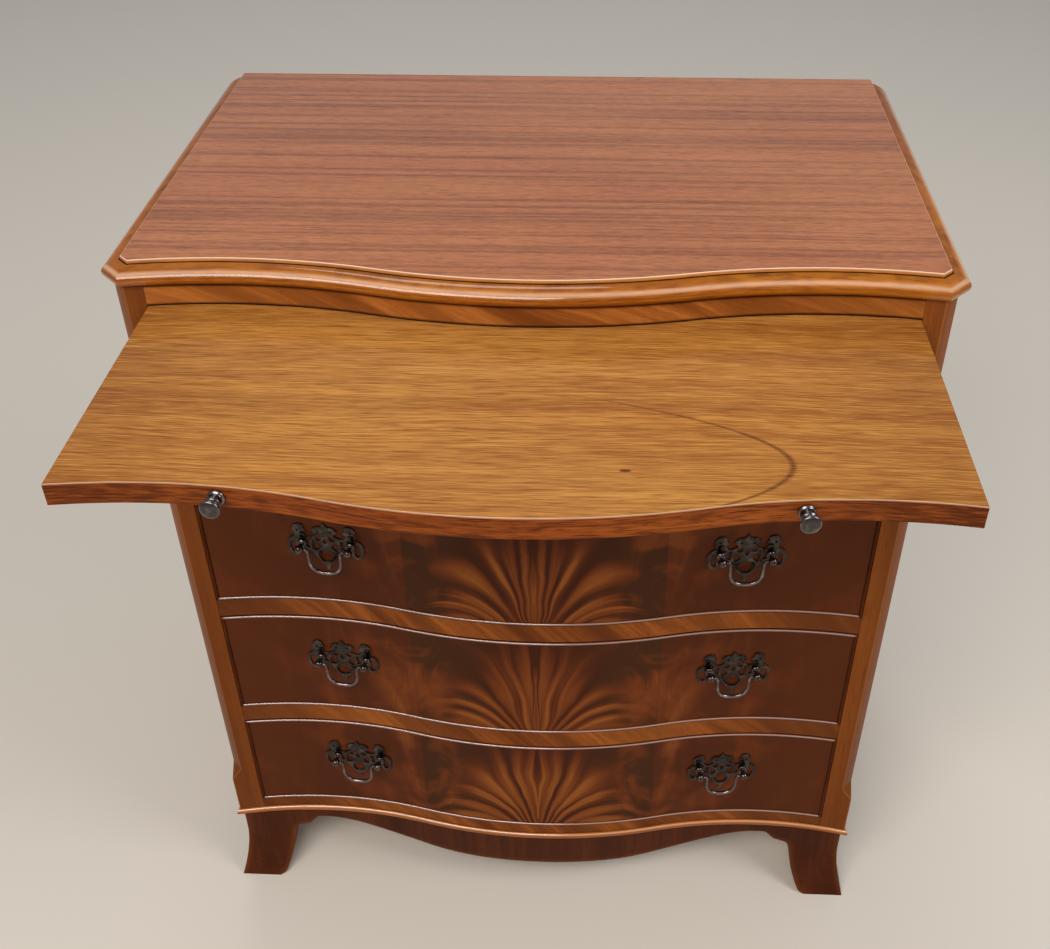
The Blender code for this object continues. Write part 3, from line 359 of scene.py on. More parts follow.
def growth(x, y, sway, streak, tip, axis_y, knot_x):
    """Return how dark the loop of a growth ring and a knot make a board.

    The ring is a parabola lying along x: its x is the tip less a curve times the squared distance
    from its axis. It sways with the grain and fades towards its open end. The knot is an ellipse.
    """
    off = y - axis_y
    ring = abs(x + off * off * RING_CURVE - tip + sway * RING_SWAY).below(0.0, RING_WIDTH)
    ring = ring * x.between(0.0, RING_FADE) * (0.55 + streak * 0.45)
    knot = ((x - knot_x) / KNOT_WIDTH)**2.0 + ((off + KNOT_OFF) / KNOT_HEIGHT)**2.0
    return (ring + knot.below(0.2, 1.6) * 0.9).clamped()


def wood(name, tones, run="x", moulded=False, seed=0.0, bands=22.0, band_share=0.6, band_rise=(0.36, 0.66),
         streaks=170.0, streak_share=0.45, wander=0.012, tilt=0.0, cloud_share=0.30, pores=0.5,
         fleck=(60.0, 520.0), flecks=0.0, ends=0.0, loop=None, wear_and_sheen=0.5, rub_and_sheen=WEAR_AND_SHEEN_TONE, roughness=0.34,
         coat=0.15, coat_roughness=0.12, coat_ior=1.5):
    """Return a wood finish from three tones, dark to light, with its grain along an axis or a run.

    Bands and streaks say how often each comes in a metre, and a share how strongly it shows. Wander and
    tilt bend and slant the grain. Flecks are short strokes, and ends darkens a front towards its ends.
    A full coat of polish grows thin in the recesses.
    """
    material, shader = start_finish(name)
    wire = Wire(material.node_tree)
    parts = dict(zip("XYZ", (wire.field("grain", "Vector") if moulded else wire.place()).split()))
    along, across, depth = (parts[axis] for axis in AXES[run])

    def grain(stretch, squeeze, offset=0.0, detail=3.0):
        """Return noise stretched along the grain: it changes slowly along it and fast across it."""
        place = (along * stretch, across * squeeze, depth * squeeze + (seed + offset))
        return wire.noise(place, detail=detail)

    sway = grain(2.2, 7.0, detail=2.0) - 0.5
    across = across + sway * wander + along * tilt
    band = grain(0.9, bands, 3.1).between(*band_rise)
    streak = grain(5.0, streaks, 7.7).between(0.38, 0.68)
    pore = grain(34.0, 900.0, 1.3, 2.0).between(0.56, 0.70)
    cloud = grain(3.0, 5.0, 9.0, 2.0)
    dark, middle, light = (tone(*t) for t in tones)
    colour = (band * band_share).mix(middle, dark)
    colour = ((1.0 - band) * streak * streak_share).mix(colour, light)
    colour = (cloud.between(0.35, 0.7) * cloud_share).mix(colour, light)
    if ends:
        colour = (abs(parts["X"]).between(0.16, 0.36) * ends).mix(colour, dark)
    if flecks:
        dash = grain(*fleck, 4.6, 2.0)
        colour = (dash.between(0.50, 0.66) * flecks).mix(colour, dark)
        colour = (dash.below(0.34, 0.48) * flecks * 0.7).mix(colour, light)
    if loop:
        colour = growth(parts["X"], parts["Y"], sway, streak, *loop).mix(colour, tone(*RING_TONE))
    colour = wear_and_painted_light(wire, (pore * pores).mix(colour, dark), wear_and_sheen, rub_and_sheen)
    gloss = cloud * 0.10 + pore * 0.12 + (roughness - 0.06)
    relief = 1.0 - pore * 0.8 + streak * 0.25
    close_finish(wire, shader, colour, gloss, relief, WOOD_RELIEF, coat, coat_roughness, coat_ior)
    if coat == FULL_COAT:
        (wire.field("edge") * 2.0 + 1.0).clamped().feed(shader, "Coat Weight")
    return material


BEAD_GRAIN = dict(moulded=True, bands=90.0, band_share=0.5, streaks=320.0, wear_and_sheen=0.55, roughness=0.26,
                  coat=FULL_COAT)
PLAIN_GRAIN = dict(bands=30.0, band_share=0.4, streaks=200.0, pores=0.35, wear_and_sheen=0.2, roughness=0.62, coat=0.0)
PALE = [(150, 112, 70), (196, 160, 112), (214, 182, 134)]

STRIPED = wood("striped_mahogany", [(84, 38, 26), (166, 98, 60), (192, 124, 76)], seed=2.0,
               bands=150.0, band_share=0.44, band_rise=(0.49, 0.63), streaks=70.0, streak_share=0.25,
               wander=0.008, fleck=(110.0, 1000.0), flecks=0.30, roughness=0.32, coat=0.7)
# The slide's board and its lipping show the painted highlight along its top arris in their light edge tones.
GOLDEN = wood("golden_mahogany", [(112, 56, 18), (172, 107, 42), (204, 148, 72)], seed=11.0,
              bands=40.0, band_share=0.40, streaks=420.0, streak_share=0.5, wander=0.030,
              fleck=(40.0, 1250.0), flecks=0.62, ends=0.45, loop=(0.200, -0.305, 0.082), wear_and_sheen=0.7,
              rub_and_sheen=(232, 200, 168), roughness=0.30, coat=0.3)
# The top's moulded edge takes its painted highlights in this light edge tone, along the ovolo and the arris.
RUNNING = wood("running_mahogany", [(108, 48, 6), (168, 90, 14), (198, 122, 32)], moulded=True, seed=5.0,
               bands=60.0, band_share=0.4, streaks=260.0, flecks=0.35, wear_and_sheen=1.0, rub_and_sheen=(240, 204, 170),
               roughness=0.26, coat=FULL_COAT, coat_roughness=0.06)
LIPPING = wood("lipping_mahogany", [(70, 26, 6), (128, 58, 16), (158, 82, 26)], moulded=True, seed=8.0,
               bands=110.0, streaks=420.0, streak_share=0.7, pores=0.9, flecks=0.6, ends=0.55,
               rub_and_sheen=(216, 176, 140), roughness=0.30)
# The cockbead's light edge tone is the colour of its painted highlight.
BEADING = wood("beading_mahogany", [(52, 20, 6), (96, 42, 14), (124, 60, 24)], seed=9.0,
               rub_and_sheen=(214, 178, 160), coat_roughness=0.08, coat_ior=2.0, **BEAD_GRAIN)
# The base bead's light edge tone is the colour of its painted highlight line.
BASE_BEADING = wood("base_beading_mahogany", [(116, 54, 12), (184, 98, 24), (212, 126, 36)], seed=17.0,
                    rub_and_sheen=(236, 196, 156), coat_roughness=0.07, coat_ior=1.7, **BEAD_GRAIN)
CROSSBAND = wood("crossbanded_mahogany", [(78, 34, 8), (126, 62, 18), (170, 96, 34)], run="z", seed=14.0,
                 bands=26.0, band_share=0.75, streaks=90.0, streak_share=0.6, wander=0.05, tilt=0.9,
                 cloud_share=0.4, ends=0.75, wear_and_sheen=0.15)
# The frieze is the rails' crossbanding painted lighter, a painted lift of light against the shade under the
# top's overhang.
FRIEZE_PAINTED_LIGHTER = wood("frieze_mahogany_painted_lighter", [(92, 42, 12), (150, 82, 30), (186, 112, 48)], run="z", seed=15.0,
              bands=20.0, band_share=0.75, streaks=90.0, streak_share=0.7, wander=0.06, tilt=2.2,
              cloud_share=0.4, wear_and_sheen=0.15)
UPRIGHT = wood("upright_mahogany", [(82, 37, 8), (118, 59, 16), (142, 77, 24)], run="z", seed=21.0,
               bands=40.0, band_share=0.35, streaks=230.0)
DARK = wood("dark_mahogany", [(42, 17, 6), (71, 30, 10), (94, 45, 17)], run="z", seed=26.0, bands=26.0,
            band_share=0.5, streaks=160.0, wear_and_sheen=0.8, rub_and_sheen=(150, 80, 36), roughness=0.40)
LININGS = wood("lining_wood", PALE, seed=31.0, **PLAIN_GRAIN)
LININGS_DEEP = wood("lining_wood_deep", PALE, run="y", seed=37.0, **PLAIN_GRAIN)
CARCASS_WOOD = wood("drawer_core_mahogany", [(88, 44, 24), (132, 74, 42), (156, 96, 58)], seed=41.0,
                    bands=30.0, band_share=0.4, streaks=190.0, roughness=0.5, coat=0.0)
print("wood finishes ready")

# %% [markdown]
# ## Flame veneer
#
# The drawer fronts are faced with veneer cut where a branch leaves the trunk. Its grain rises like a
# fountain from the seam in the middle and falls outward, and two leaves laid edge to edge mirror each
# other. The fountain is drawn with the paths of thrown water: every streak keeps the slope at
# which it leaves the foot of the seam, and gravity bends it. Plainer leaves close both ends.

# %% Flame material
SPRING_DEPTH = 0.046
FROND_PEAK = 0.086
FLAME_TIP = 0.092
TIP_BLUR = 0.020
LEAF_EDGE = 0.1315
JOINT_WIDTH = 0.0006
BRANCH_PEAK = 0.040
FROND_RATE = 5.4
FLAT_SLOPE = 0.35
PORE_RATES = (900.0, 240.0)
VENEER_RELIEF = 0.00003
VENEER_COAT = {"coat": 0.12, "coat_roughness": 0.14}
FLAME_TONES = {"deep": (62, 26, 10), "olive": (64, 35, 14), "plain": (82, 37, 12), "warm": (100, 46, 16),
               "lit": (142, 80, 30)}


def flame(name, low, seed):
    """Return the veneer of a drawer front whose lower edge is at height low.

    A frond is the set of points with one slope. The slope is an arch, which is the distance from the seam
    less its square over twice the peak, divided by the height above a spring under the drawer. So
    all fronds leave one point, and all of them stop climbing at the same distance from the seam.
    """
    material, shader = start_finish(name)
    wire = Wire(material.node_tree)
    x, _, z = wire.place().split()
    side = abs(x)
    height = z - low
    tones = {key: tone(*value) for key, value in FLAME_TONES.items()}

    def cloud(first, second, detail=2.0, distortion=0.0, offset=0.0):
        """Return noise over two worked-out coordinates."""
        return wire.noise((first, second, seed + offset), 1.0, detail, distortion)

    def fan(distance, peak):
        """Return the fan coordinate: the logarithm of a frond's slope, so that all are about as wide."""
        arch = distance - distance * distance / (2 * peak)
        slope = wire.math("MAXIMUM", arch / (height + SPRING_DEPTH), 0.0)
        return wire.math("LOGARITHM", slope + FLAT_SLOPE, math.e)

    # The inner leaves: fronds with streaks and hairs along them, which fade at ragged tips.
    warp = cloud(side * 14.0, z * 14.0) - 0.5
    leaf = side + warp * 0.014
    spread = fan(leaf, FROND_PEAK)
    spread = (spread + (cloud(spread * 1.5, height * 7.0, 1.0, offset=2.0) - 0.5) * 0.45) * FROND_RATE
    step = wire.math("FRACT", spread + seed)
    frond = step.between(0.0, 0.40) * step.below(0.30, 1.0) * (0.7 + side.between(0.0, 0.05) * 0.6)
    streak = cloud(spread * 1.6, height * 5.0 + side * 4.0, offset=3.0).between(0.36, 0.66)
    hair = cloud(spread * 7.0, height * 9.0, 3.0, offset=5.0).between(0.34, 0.70)
    ragged = (cloud(spread * 2.2, height * 3.0, offset=6.0) - 0.5) * 0.085
    reach = (leaf + ragged).below(FLAME_TIP - TIP_BLUR * 1.3, FLAME_TIP + TIP_BLUR)
    fade = 1.0 - (height + side * 0.55).between(0.065, 0.165) * 0.75
    feather = (frond * 0.60 + streak * 0.52) * (0.10 + reach * 0.90) * fade

    # The outer leaves: eddies at the joint, side branches that leave it, and a quiet mottle.
    joint = side - LEAF_EDGE
    off_joint = wire.math("MAXIMUM", joint, 0.0)
    far = side.between(0.21, 0.33)
    eddy = cloud(abs(joint) * 24.0, z * 20.0 + joint * 3.0, 3.0, 1.2, 8.0).between(0.40, 0.66)
    branch = cloud(fan(off_joint, BRANCH_PEAK) * 3.4, side * 14.0, 2.0, 0.4, 9.0).between(0.40, 0.64)
    branch = branch * joint.between(0.004, 0.020) * joint.below(0.030, 0.078)
    glow = cloud(side * 16.0 - z * 11.0, z * 5.0 + side * 4.0, 2.0, 0.5, 11.0).between(0.42, 0.62)
    mottle = cloud(side * 11.0 + z * 7.0, z * 16.0, 3.0, 0.8, 17.0).between(0.44, 0.62)
    strand = cloud(side * 42.0 + warp * 2.0, z * 4.0 + side * 6.0, 3.0, 0.5, 21.0).between(0.40, 0.66)
    outer = eddy * joint.below(0.01, 0.05) * 0.34 + branch * 0.34 + glow * 0.22
    outer = (outer + mottle * 0.14 + strand * 0.16) * (0.86 - far * 0.18)

    # Both are joined at the seam between the leaves and take their tones from the height of the figure.
    beyond = side.between(FLAME_TIP - TIP_BLUR, FLAME_TIP + TIP_BLUR) * (eddy * 0.36 + glow * 0.18)
    centre = joint.below(-JOINT_WIDTH, JOINT_WIDTH)
    figure = (centre * (feather + beyond) + (1.0 - centre) * outer).clamped()
    shade = (1.0 - feather).clamped() * side.between(0.02, 0.10) * centre * 0.85
    ground = shade.mix(tones["deep"], tones["olive"])
    ground = ((1.0 - centre) * (0.6 + far * 0.4)).mix(ground, tones["plain"])
    colour = figure.between(0.06, 0.52).mix(ground, tones["warm"])
    colour = (figure.between(0.34, 1.0) * (0.5 + hair * 0.5)).mix(colour, tones["lit"])
    pore = cloud(x * PORE_RATES[0], z * PORE_RATES[1], offset=14.0).between(0.58, 0.72)
    colour = (pore * 0.22).mix(colour, tones["deep"])
    seams = abs(joint).below(0.0, 0.0008) * 0.35 + side.below(0.0, 0.0007) * 0.25
    colour = wear_and_painted_light(wire, seams.clamped().mix(colour, tones["deep"]), 0.3)
    gloss = 0.36 - figure * 0.06
    relief = hair * 0.2 + pore * 0.6
    close_finish(wire, shader, colour, gloss, relief, VENEER_RELIEF, **VENEER_COAT)
    return material


print("flame veneer ready")

# %% [markdown]
# ## Antique brass
#
# The handles and knobs are brass under a dark, nearly black patina. Bare metal would look new, so the
# patina is a dark metal whose tone and gloss wander, rubbed brighter where fingers touch it.

# %% Brass material
BRASS_RELIEF = 0.00004
BRASS_COAT = {"coat": 0.4, "coat_roughness": 0.08, "coat_ior": 1.6}
CLOUD_SCALE = 130.0
SPECK_SCALE = 1400.0


def brass(name, dull, bright, seed):
    """Return patinated brass: a dark metal, a little brighter where clouds of noise say it is rubbed."""
    material, shader = start_finish(name)
    wire = Wire(material.node_tree)
    place = wire.place()
    cloud = wire.noise(place, CLOUD_SCALE + seed, 3.0)
    speck = wire.noise(place, SPECK_SCALE)
    lightened = (cloud.between(0.45, 0.72) * 0.7 + wire.field("edge") * 0.6).clamped()
    colour = lightened.mix(tone(*dull), tone(*bright))
    gloss = 0.25 - lightened * 0.12 + speck * 0.08
    close_finish(wire, shader, colour, gloss, cloud * 0.6 + speck * 0.4, BRASS_RELIEF, **BRASS_COAT)
    set_inputs(shader, {"Metallic": 1.0})
    return material


BRASS = brass("antique_brass", (35, 26, 22), (92, 76, 66), 0.0)
BAIL_BRASS = brass("bail_brass", (46, 38, 36), (138, 128, 128), 10.0)
KNOB_BRASS = brass("knob_brass", (50, 44, 44), (118, 110, 106), 20.0)
print("brass ready")

# %% [markdown]
# ## Surfaces from grids
#
# Each new piece is a grid of points worked out all at once: rows run along the piece and columns run
# round its section. The helper below turns such a grid into a closed mesh. Two fields can ride on the
# points: the grain coordinates of a moulded run, and the edge field, which lightens the colour above 0
# and darkens it below 0. Above 0 it is wear on some pieces and a painted highlight on others; below 0
# it is painted shade.

# %% Grid helpers
MILLIMETRE = 0.001
MOST_OF_SIDE = 0.45  # the most of a side that the easing of its corner may take


def grid(x, y, z):
    """Return rows of three from coordinates that are each given for all points, for a line or once."""
    return np.stack(np.broadcast_arrays(x, y, z), axis=-1)


def at_levels(plan, z):
    """Give every row of a plan, which is a grid of (x, y), its own height."""
    return grid(plan[..., 0], plan[..., 1], z[:, None])


def angles(start, end, count):
    """Return angles in radians, evenly spaced, from two angles in degrees."""
    return np.radians(np.linspace(start, end, count))


def full_turn(count):
    """Return angles in radians that divide a full turn evenly."""
    return np.linspace(0.0, 2 * np.pi, count, endpoint=False)


def smooth_step(share):
    """Return the smooth rise from 0 to 1: three squares less two cubes."""
    return share * share * (3 - 2 * share)


def painted_highlight_line(angle, at, width, rise=1.0, rest=0.0):
    """Return an edge field with one painted highlight line along a round: a bell curve of the angle."""
    return rise * np.exp(-((angle - at) / width)**2) + rest


def heights(node):
    """Return the lowest and the highest z of a solid."""
    return tuple(corner.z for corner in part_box(node))


def mesh_points(mesh):
    """Return the points of a mesh as rows of three."""
    places = np.zeros(len(mesh.vertices) * 3)
    mesh.vertices.foreach_get("co", places)
    return places.reshape(-1, 3)


def surface(name, points, ring=False, edge=None, grain=None, sharp=35.0):
    """Make a closed mesh from a grid of points, rows by columns by three.

    The last column joins the first. ring joins the last row to the first; otherwise one flat face
    closes the first row and one the last.
    """
    rows, columns = points.shape[:2]
    index = np.arange(rows * columns).reshape(rows, columns)
    wrapped = np.hstack([index, index[:, :1]])
    wrapped = np.vstack([wrapped, wrapped[:1]]) if ring else wrapped
    quads = np.stack([wrapped[:-1, :-1], wrapped[:-1, 1:], wrapped[1:, 1:], wrapped[1:, :-1]], axis=-1)
    faces = quads.reshape(-1, 4).tolist()
    if not ring:
        faces += [index[0][::-1].tolist(), index[-1].tolist()]
    mesh = bpy.data.meshes.new(name)
    mesh.from_pydata(points.reshape(-1, 3).tolist(), [], faces)
    if edge is not None:
        layer = mesh.attributes.new("edge", "FLOAT", "POINT")
        layer.data.foreach_set("value", np.broadcast_to(edge, (rows, columns)).astype(np.float32).ravel())
    if grain is not None:
        layer = mesh.attributes.new("grain", "FLOAT_VECTOR", "POINT")
        layer.data.foreach_set("vector", grain.astype(np.float32).ravel())
    return outward(mesh, sharp)


def outward(mesh, sharp=35.0):
    """Turn a closed mesh so that its faces point outward, and shade it with sharp edges kept.

    The signed volume, a sum over triangles of a point times the cross product of the other two,
    says which way the faces point.
    """
    mesh.calc_loop_triangles()
    corners = np.zeros(len(mesh.loop_triangles) * 3, np.int32)
    mesh.loop_triangles.foreach_get("vertices", corners)
    a, b, c = mesh_points(mesh)[corners.reshape(-1, 3)].transpose(1, 0, 2)
    if np.einsum("ij,ij->i", a, np.cross(b, c)).sum() < 0:
        mesh.flip_normals()
    mesh.shade_smooth()
    mesh.set_sharp_from_angle(angle=math.radians(sharp))
    return mesh


def merged(name, meshes, edit=None):
    """Put meshes into one, as separate bodies, and let an edit work on its points and faces."""
    work = bmesh.new()
    for mesh in meshes:
        work.from_mesh(mesh)
    if edit:
        edit(work)
    joined = bpy.data.meshes.new(name)
    work.to_mesh(joined)
    work.free()
    return joined


def moved(mesh, matrix):
    """Return a moved copy of a mesh; a mirrored copy is turned right side out again."""
    copy = mesh.copy()
    copy.transform(matrix)
    if matrix.determinant() < 0:
        copy.flip_normals()
    return copy


MIRROR = Matrix.Scale(-1, 4, Vector((1, 0, 0)))


def piece(name, mesh, materials, body, stands_for=()):
    """Add a finished piece that rides on a body, takes its finish from a slot and hides its solids."""
    item = bpy.data.objects.new(name, mesh)
    scene.collection.objects.link(item)
    mesh.materials.clear()
    for material in materials if isinstance(materials, list) else [materials]:
        mesh.materials.append(material)
    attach(item, body)
    if stands_for:
        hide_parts(*stands_for)
    return item


def second_finish(mesh, chosen):
    """Give the chosen faces of a mesh its second finish."""
    mesh.polygons.foreach_set("material_index", np.array(chosen, np.int32))


def run_length(points):
    """Return the distance along each column of a grid, measured from its first row."""
    steps = np.linalg.norm(np.diff(points, axis=0), axis=-1)
    return np.vstack([np.zeros((1, points.shape[1])), np.cumsum(steps, axis=0)])


def run_grain(points, seed):
    """Return grain coordinates that follow a run: distance from its middle, distance round it, a seed."""
    middle = points.shape[1] // 2
    along = run_length(points)[:, middle:middle + 1]
    return grid(along - along.max() / 2, run_length(points.transpose(1, 0, 2)).T[:1], seed)


print("grid helpers ready")

# %% [markdown]
# ## Boards with a serpentine front
#
# Rails, the slide and the beads all follow the front line. Their sections have eased edges, because a
# polished board never has a knife edge, and it is the eased edge that catches the light.

# %% Serpentine boards
EASE_STEPS = 5
RUN_STATIONS = 161
RAIL_HALF = OPENING_WIDTH / 2 - GLUE_GAP
RAIL_STATIONS = 121
RAIL_EASE = 0.0004
RAIL_GUARD = 0.0008
# The rails' marks paint shade: both corners of every rail are darkened, a dark line along the gaps beside the
# drawers and the slide. The frieze's wider guard widens that painted shadow line.
FRIEZE_GUARD = 0.0026
RAIL_SHADE_MARKS = (-1.4, -1.2)


def eased_front(low, high, radius, guard, marks):
    """Return a board's front as (out, z, edge) rows from its underside up, both corners quarter rounds.

    The marks are the edge field of the lower and the upper corner: above 0 a painted highlight, below 0
    painted shade. Each mark fades over the guard, a strip beside its corner.
    """
    def corner(middle, start, mark):
        """Return the quarter round about a height."""
        return [(radius * (math.cos(a) - 1), middle + radius * math.sin(a), mark)
                for a in angles(start, start + 90, EASE_STEPS)]

    flat = [(0.0, low + radius + guard, 0.0), (0.0, high - radius - guard, 0.0)]
    return np.array([(-radius - guard, low, 0.0), *corner(low + radius, -90, marks[0]), *flat,
                     *corner(high - radius, 0, marks[1]), (-radius - guard, high, 0.0)])


def serpentine_grid(xs, section, back_y=None):
    """Carry a section of (out, z) rows along the front line; a straight back closes it at back_y."""
    x = xs[:, None]
    points = grid(x, front_line(x, section[:, 0]), section[:, 1])
    if back_y is not None:
        points = np.concatenate([points, grid(x, back_y, section[[-1, 0], 1])], axis=1)
    return points


for name in ("frieze_rail", "slide_rail", "drawer_rail_1", "drawer_rail_2", "drawer_rail_3", "bottom_rail"):
    finish, guard = (FRIEZE_PAINTED_LIGHTER, FRIEZE_GUARD) if name == "frieze_rail" else (CROSSBAND, RAIL_GUARD)
    section = eased_front(*heights(name), RAIL_EASE, guard, RAIL_SHADE_MARKS)
    points = serpentine_grid(np.linspace(-RAIL_HALF, RAIL_HALF, RAIL_STATIONS), section, STILE_Y + RAIL_DEPTH)
    rail = surface(name, points, edge=np.append(section[:, 2], [0.0, 0.0]))
    piece(f"{name}_veneered", rail, finish, "carcass", [name])
print("six rails drawn between", -RAIL_HALF, "and", RAIL_HALF)

# %% [markdown]
# ## Top board
#
# The top is a board with a moulded edge. Its plan is the front line, two canted corners and two sides,
# and each level of the moulding moves that whole plan inward by its own distance. The corners
# stay sharp mitres, because every side moves square to itself. From the field outward the moulding
# has a small riser, a quirk, a broad ovolo and a round underside.

# %% Top board
TOP_THICKNESS = 0.0195
TOP_OVERHANG_FRONT = 0.006
TOP_OVERHANG_SIDE = 0.009
TOP_OVERHANG_BACK = 0.004
TOP_CANT = 0.0195
TOP_BACK_CANT = 0.018
TOP_EASE = 0.0005
MOULD_WIDTH = 0.0162
MOULD_RISER = 0.0036
MOULD_QUIRK = 0.0012
QUIRK_DEPTH = 0.0012
NOSING_DROP = 0.0068
UNDERCUT = 0.0060
HALVINGS = 40
HAIR = 0.00001


def top_profile():
    """Return the moulding from the underside up, as (offset, depth below the top, edge) rows."""
    nose = TOP_THICKNESS - NOSING_DROP
    shelf = MOULD_WIDTH - MOULD_QUIRK
    field = MOULD_WIDTH + MOULD_QUIRK / 2
    under = angles(0, 90, 8)
    ovolo = angles(0, 90, 18)[1:]
    # The edge column is painted light and shade: shade under the nose, over the ovolo and in the quirk, a
    # highlight line along the ovolo and another along the field's arris.
    return np.concatenate([
        grid(-UNDERCUT * (1 - np.sin(under)), nose + NOSING_DROP * np.cos(under), -0.8 * np.cos(under)**2),
        grid(-shelf * (1 - np.cos(ovolo)), nose - (nose - MOULD_RISER) * np.sin(ovolo),
             painted_highlight_line(ovolo, 0.65, 0.28, 0.7, -0.30)),
        [(-shelf - 0.0001, MOULD_RISER + 0.0002, -1.1),
         (-shelf - 0.0002, MOULD_RISER + QUIRK_DEPTH, -1.1),
         (-MOULD_WIDTH + 0.0001, MOULD_RISER + QUIRK_DEPTH, -1.1),
         (-MOULD_WIDTH, MOULD_RISER - 0.0002, -1.1),
         (-MOULD_WIDTH - 0.0001, MOULD_RISER - 0.0006, 0.0),
         (-field + MOULD_QUIRK * 0.10, TOP_EASE * 2.0, 0.2),
         (-field + MOULD_QUIRK * 0.05, TOP_EASE, 1.0),
         (-field - TOP_EASE * 0.2, TOP_EASE * 0.3, 1.0),
         (-field - TOP_EASE * 0.7, 0.0, 0.8),
         (-field - TOP_EASE * 1.6, 0.0, 0.0)],
    ])


def top_plan(offset):
    """Return the plan of the top at every offset of its moulding, as rows of one closed outline.

    Where the moved front line meets the moved cant line is found by halving an interval.
    """
    half = CARCASS_HALF + TOP_OVERHANG_SIDE
    back = STILE_Y + CARCASS_DEPTH + TOP_OVERHANG_BACK
    side = half + offset
    cant_sum = front_line(half - TOP_CANT, TOP_OVERHANG_FRONT) - (half - TOP_CANT) - offset * math.sqrt(2)
    inner, outer = np.full(len(offset), half - 2 * TOP_CANT - MOULD_WIDTH), side
    for _ in range(HALVINGS):
        middle = (inner + outer) / 2
        inside = front_line(middle, TOP_OVERHANG_FRONT + offset) - middle > cant_sum
        inner, outer = np.where(inside, middle, inner), np.where(inside, outer, middle)
    front_x = np.linspace(-1.0, 1.0, RUN_STATIONS) * inner[:, None]
    front = np.stack([front_x, front_line(front_x, TOP_OVERHANG_FRONT + offset[:, None])], axis=-1)
    right = np.stack([
        np.stack([side, cant_sum + side], axis=1),
        np.stack([side, back - TOP_BACK_CANT + (half - side)], axis=1),
        np.broadcast_to([half - TOP_BACK_CANT, back], (len(side), 2)),
    ], axis=1)
    return np.concatenate([right[:, ::-1] * [-1.0, 1.0], front, right], axis=1)


top_low, top_high = heights("top_board")
profile = top_profile()
top_z = top_high - profile[:, 1] * (top_high - top_low) / TOP_THICKNESS
top_points = at_levels(top_plan(profile[:, 0]), top_z)
top_grain = run_grain(top_points.transpose(1, 0, 2), 0.3).transpose(1, 0, 2)
top_mesh = surface("top_board_moulded", top_points, edge=profile[:, 2:3], grain=top_grain, sharp=28.0)
piece("top_board_moulded", top_mesh, [STRIPED, RUNNING], "carcass", ["top_board"])
second_finish(top_mesh, [face.center.z <= top_high - HAIR or face.normal.z <= 0.9
                         for face in top_mesh.polygons])
print("top board", len(top_mesh.polygons), "faces")

# %% [markdown]
# ## Brushing slide
#
# The slide is one wide board, golden where the sun has not reached it, with a darker lipping along
# its serpentine front edge. Two turned knobs pull it out, and two stops under it keep it from coming
# out altogether.

# %% Slide board
SLIDE_THICKNESS = 0.019
SLIDE_DEPTH = 0.440
SLIDE_TRAVEL = 0.256
SLIDE_ARRIS = 0.0006
SLIDE_GUARD = 0.0004
# Painted shade along the slide's lower front corner and a painted highlight along its top arris.
SLIDE_SHADE_AND_HIGHLIGHT = (-0.4, 0.8)
SLIDE_SIDE_CLEARANCE = 0.001
STOP_WIDTH = 0.040
STOP_DEPTH = 0.018
STOP_X = 0.200
BLOCK_EASE = 0.0006

stop_low, slide_high = heights("slide_board")
slide_low = slide_high - SLIDE_THICKNESS
slide_half = OPENING_WIDTH / 2 - SLIDE_SIDE_CLEARANCE
slide_section = eased_front(slide_low, slide_high, SLIDE_ARRIS, SLIDE_GUARD, SLIDE_SHADE_AND_HIGHLIGHT)
slide_xs = np.linspace(-slide_half, slide_half, RUN_STATIONS)
slide_points = serpentine_grid(slide_xs, slide_section, STILE_Y + SLIDE_DEPTH) - [0.0, SLIDE_TRAVEL, 0.0]
slide_mesh = surface("slide_board_polished", slide_points, edge=np.append(slide_section[:, 2], [0.0, 0.0]),
                     grain=run_grain(slide_points, 0.7))
piece("slide_board_polished", slide_mesh, [GOLDEN, LIPPING], "slide", ["slide_board"])
second_finish(slide_mesh, [face.normal.y < -0.5 for face in slide_mesh.polygons])


def block(name, low, high):
    """Make a block with eased edges: a rounded rectangle carried from end to end."""
    low, high = np.array(low), np.array(high)
    quarter = np.repeat([(1, 1), (-1, 1), (-1, -1), (1, -1)], 4, axis=0)
    turn = np.concatenate([angles(start, start + 90, 4) for start in (0, 90, 180, 270)])
    outline = (low + high)[:2] / 2 + quarter * ((high - low)[:2] / 2 - BLOCK_EASE)
    outline = outline + BLOCK_EASE * np.stack([np.cos(turn), np.sin(turn)], axis=1)
    inset = np.array([BLOCK_EASE, 0.0, 0.0, BLOCK_EASE])[:, None, None]
    z = np.array([low[2], low[2] + BLOCK_EASE, high[2] - BLOCK_EASE, high[2]])
    return surface(name, at_levels(outline - quarter * inset, z))


stop_front = STILE_Y + RAIL_DEPTH + GLUE_GAP
stops = [block("stop", (x - STOP_WIDTH / 2, stop_front, stop_low),
               (x + STOP_WIDTH / 2, stop_front + STOP_DEPTH, slide_low)) for x in (-STOP_X, STOP_X)]
piece("slide_stops", merged("slide_stops", stops), LININGS, "slide")
print("slide drawn from", slide_low, "to", slide_high)

# %% [markdown]
# ## Turned work
#
# Knobs and posts are turned on a lathe: a profile of distances and radii spins about an axis. The grid
# is simply every radius times the cosine and sine of every angle.

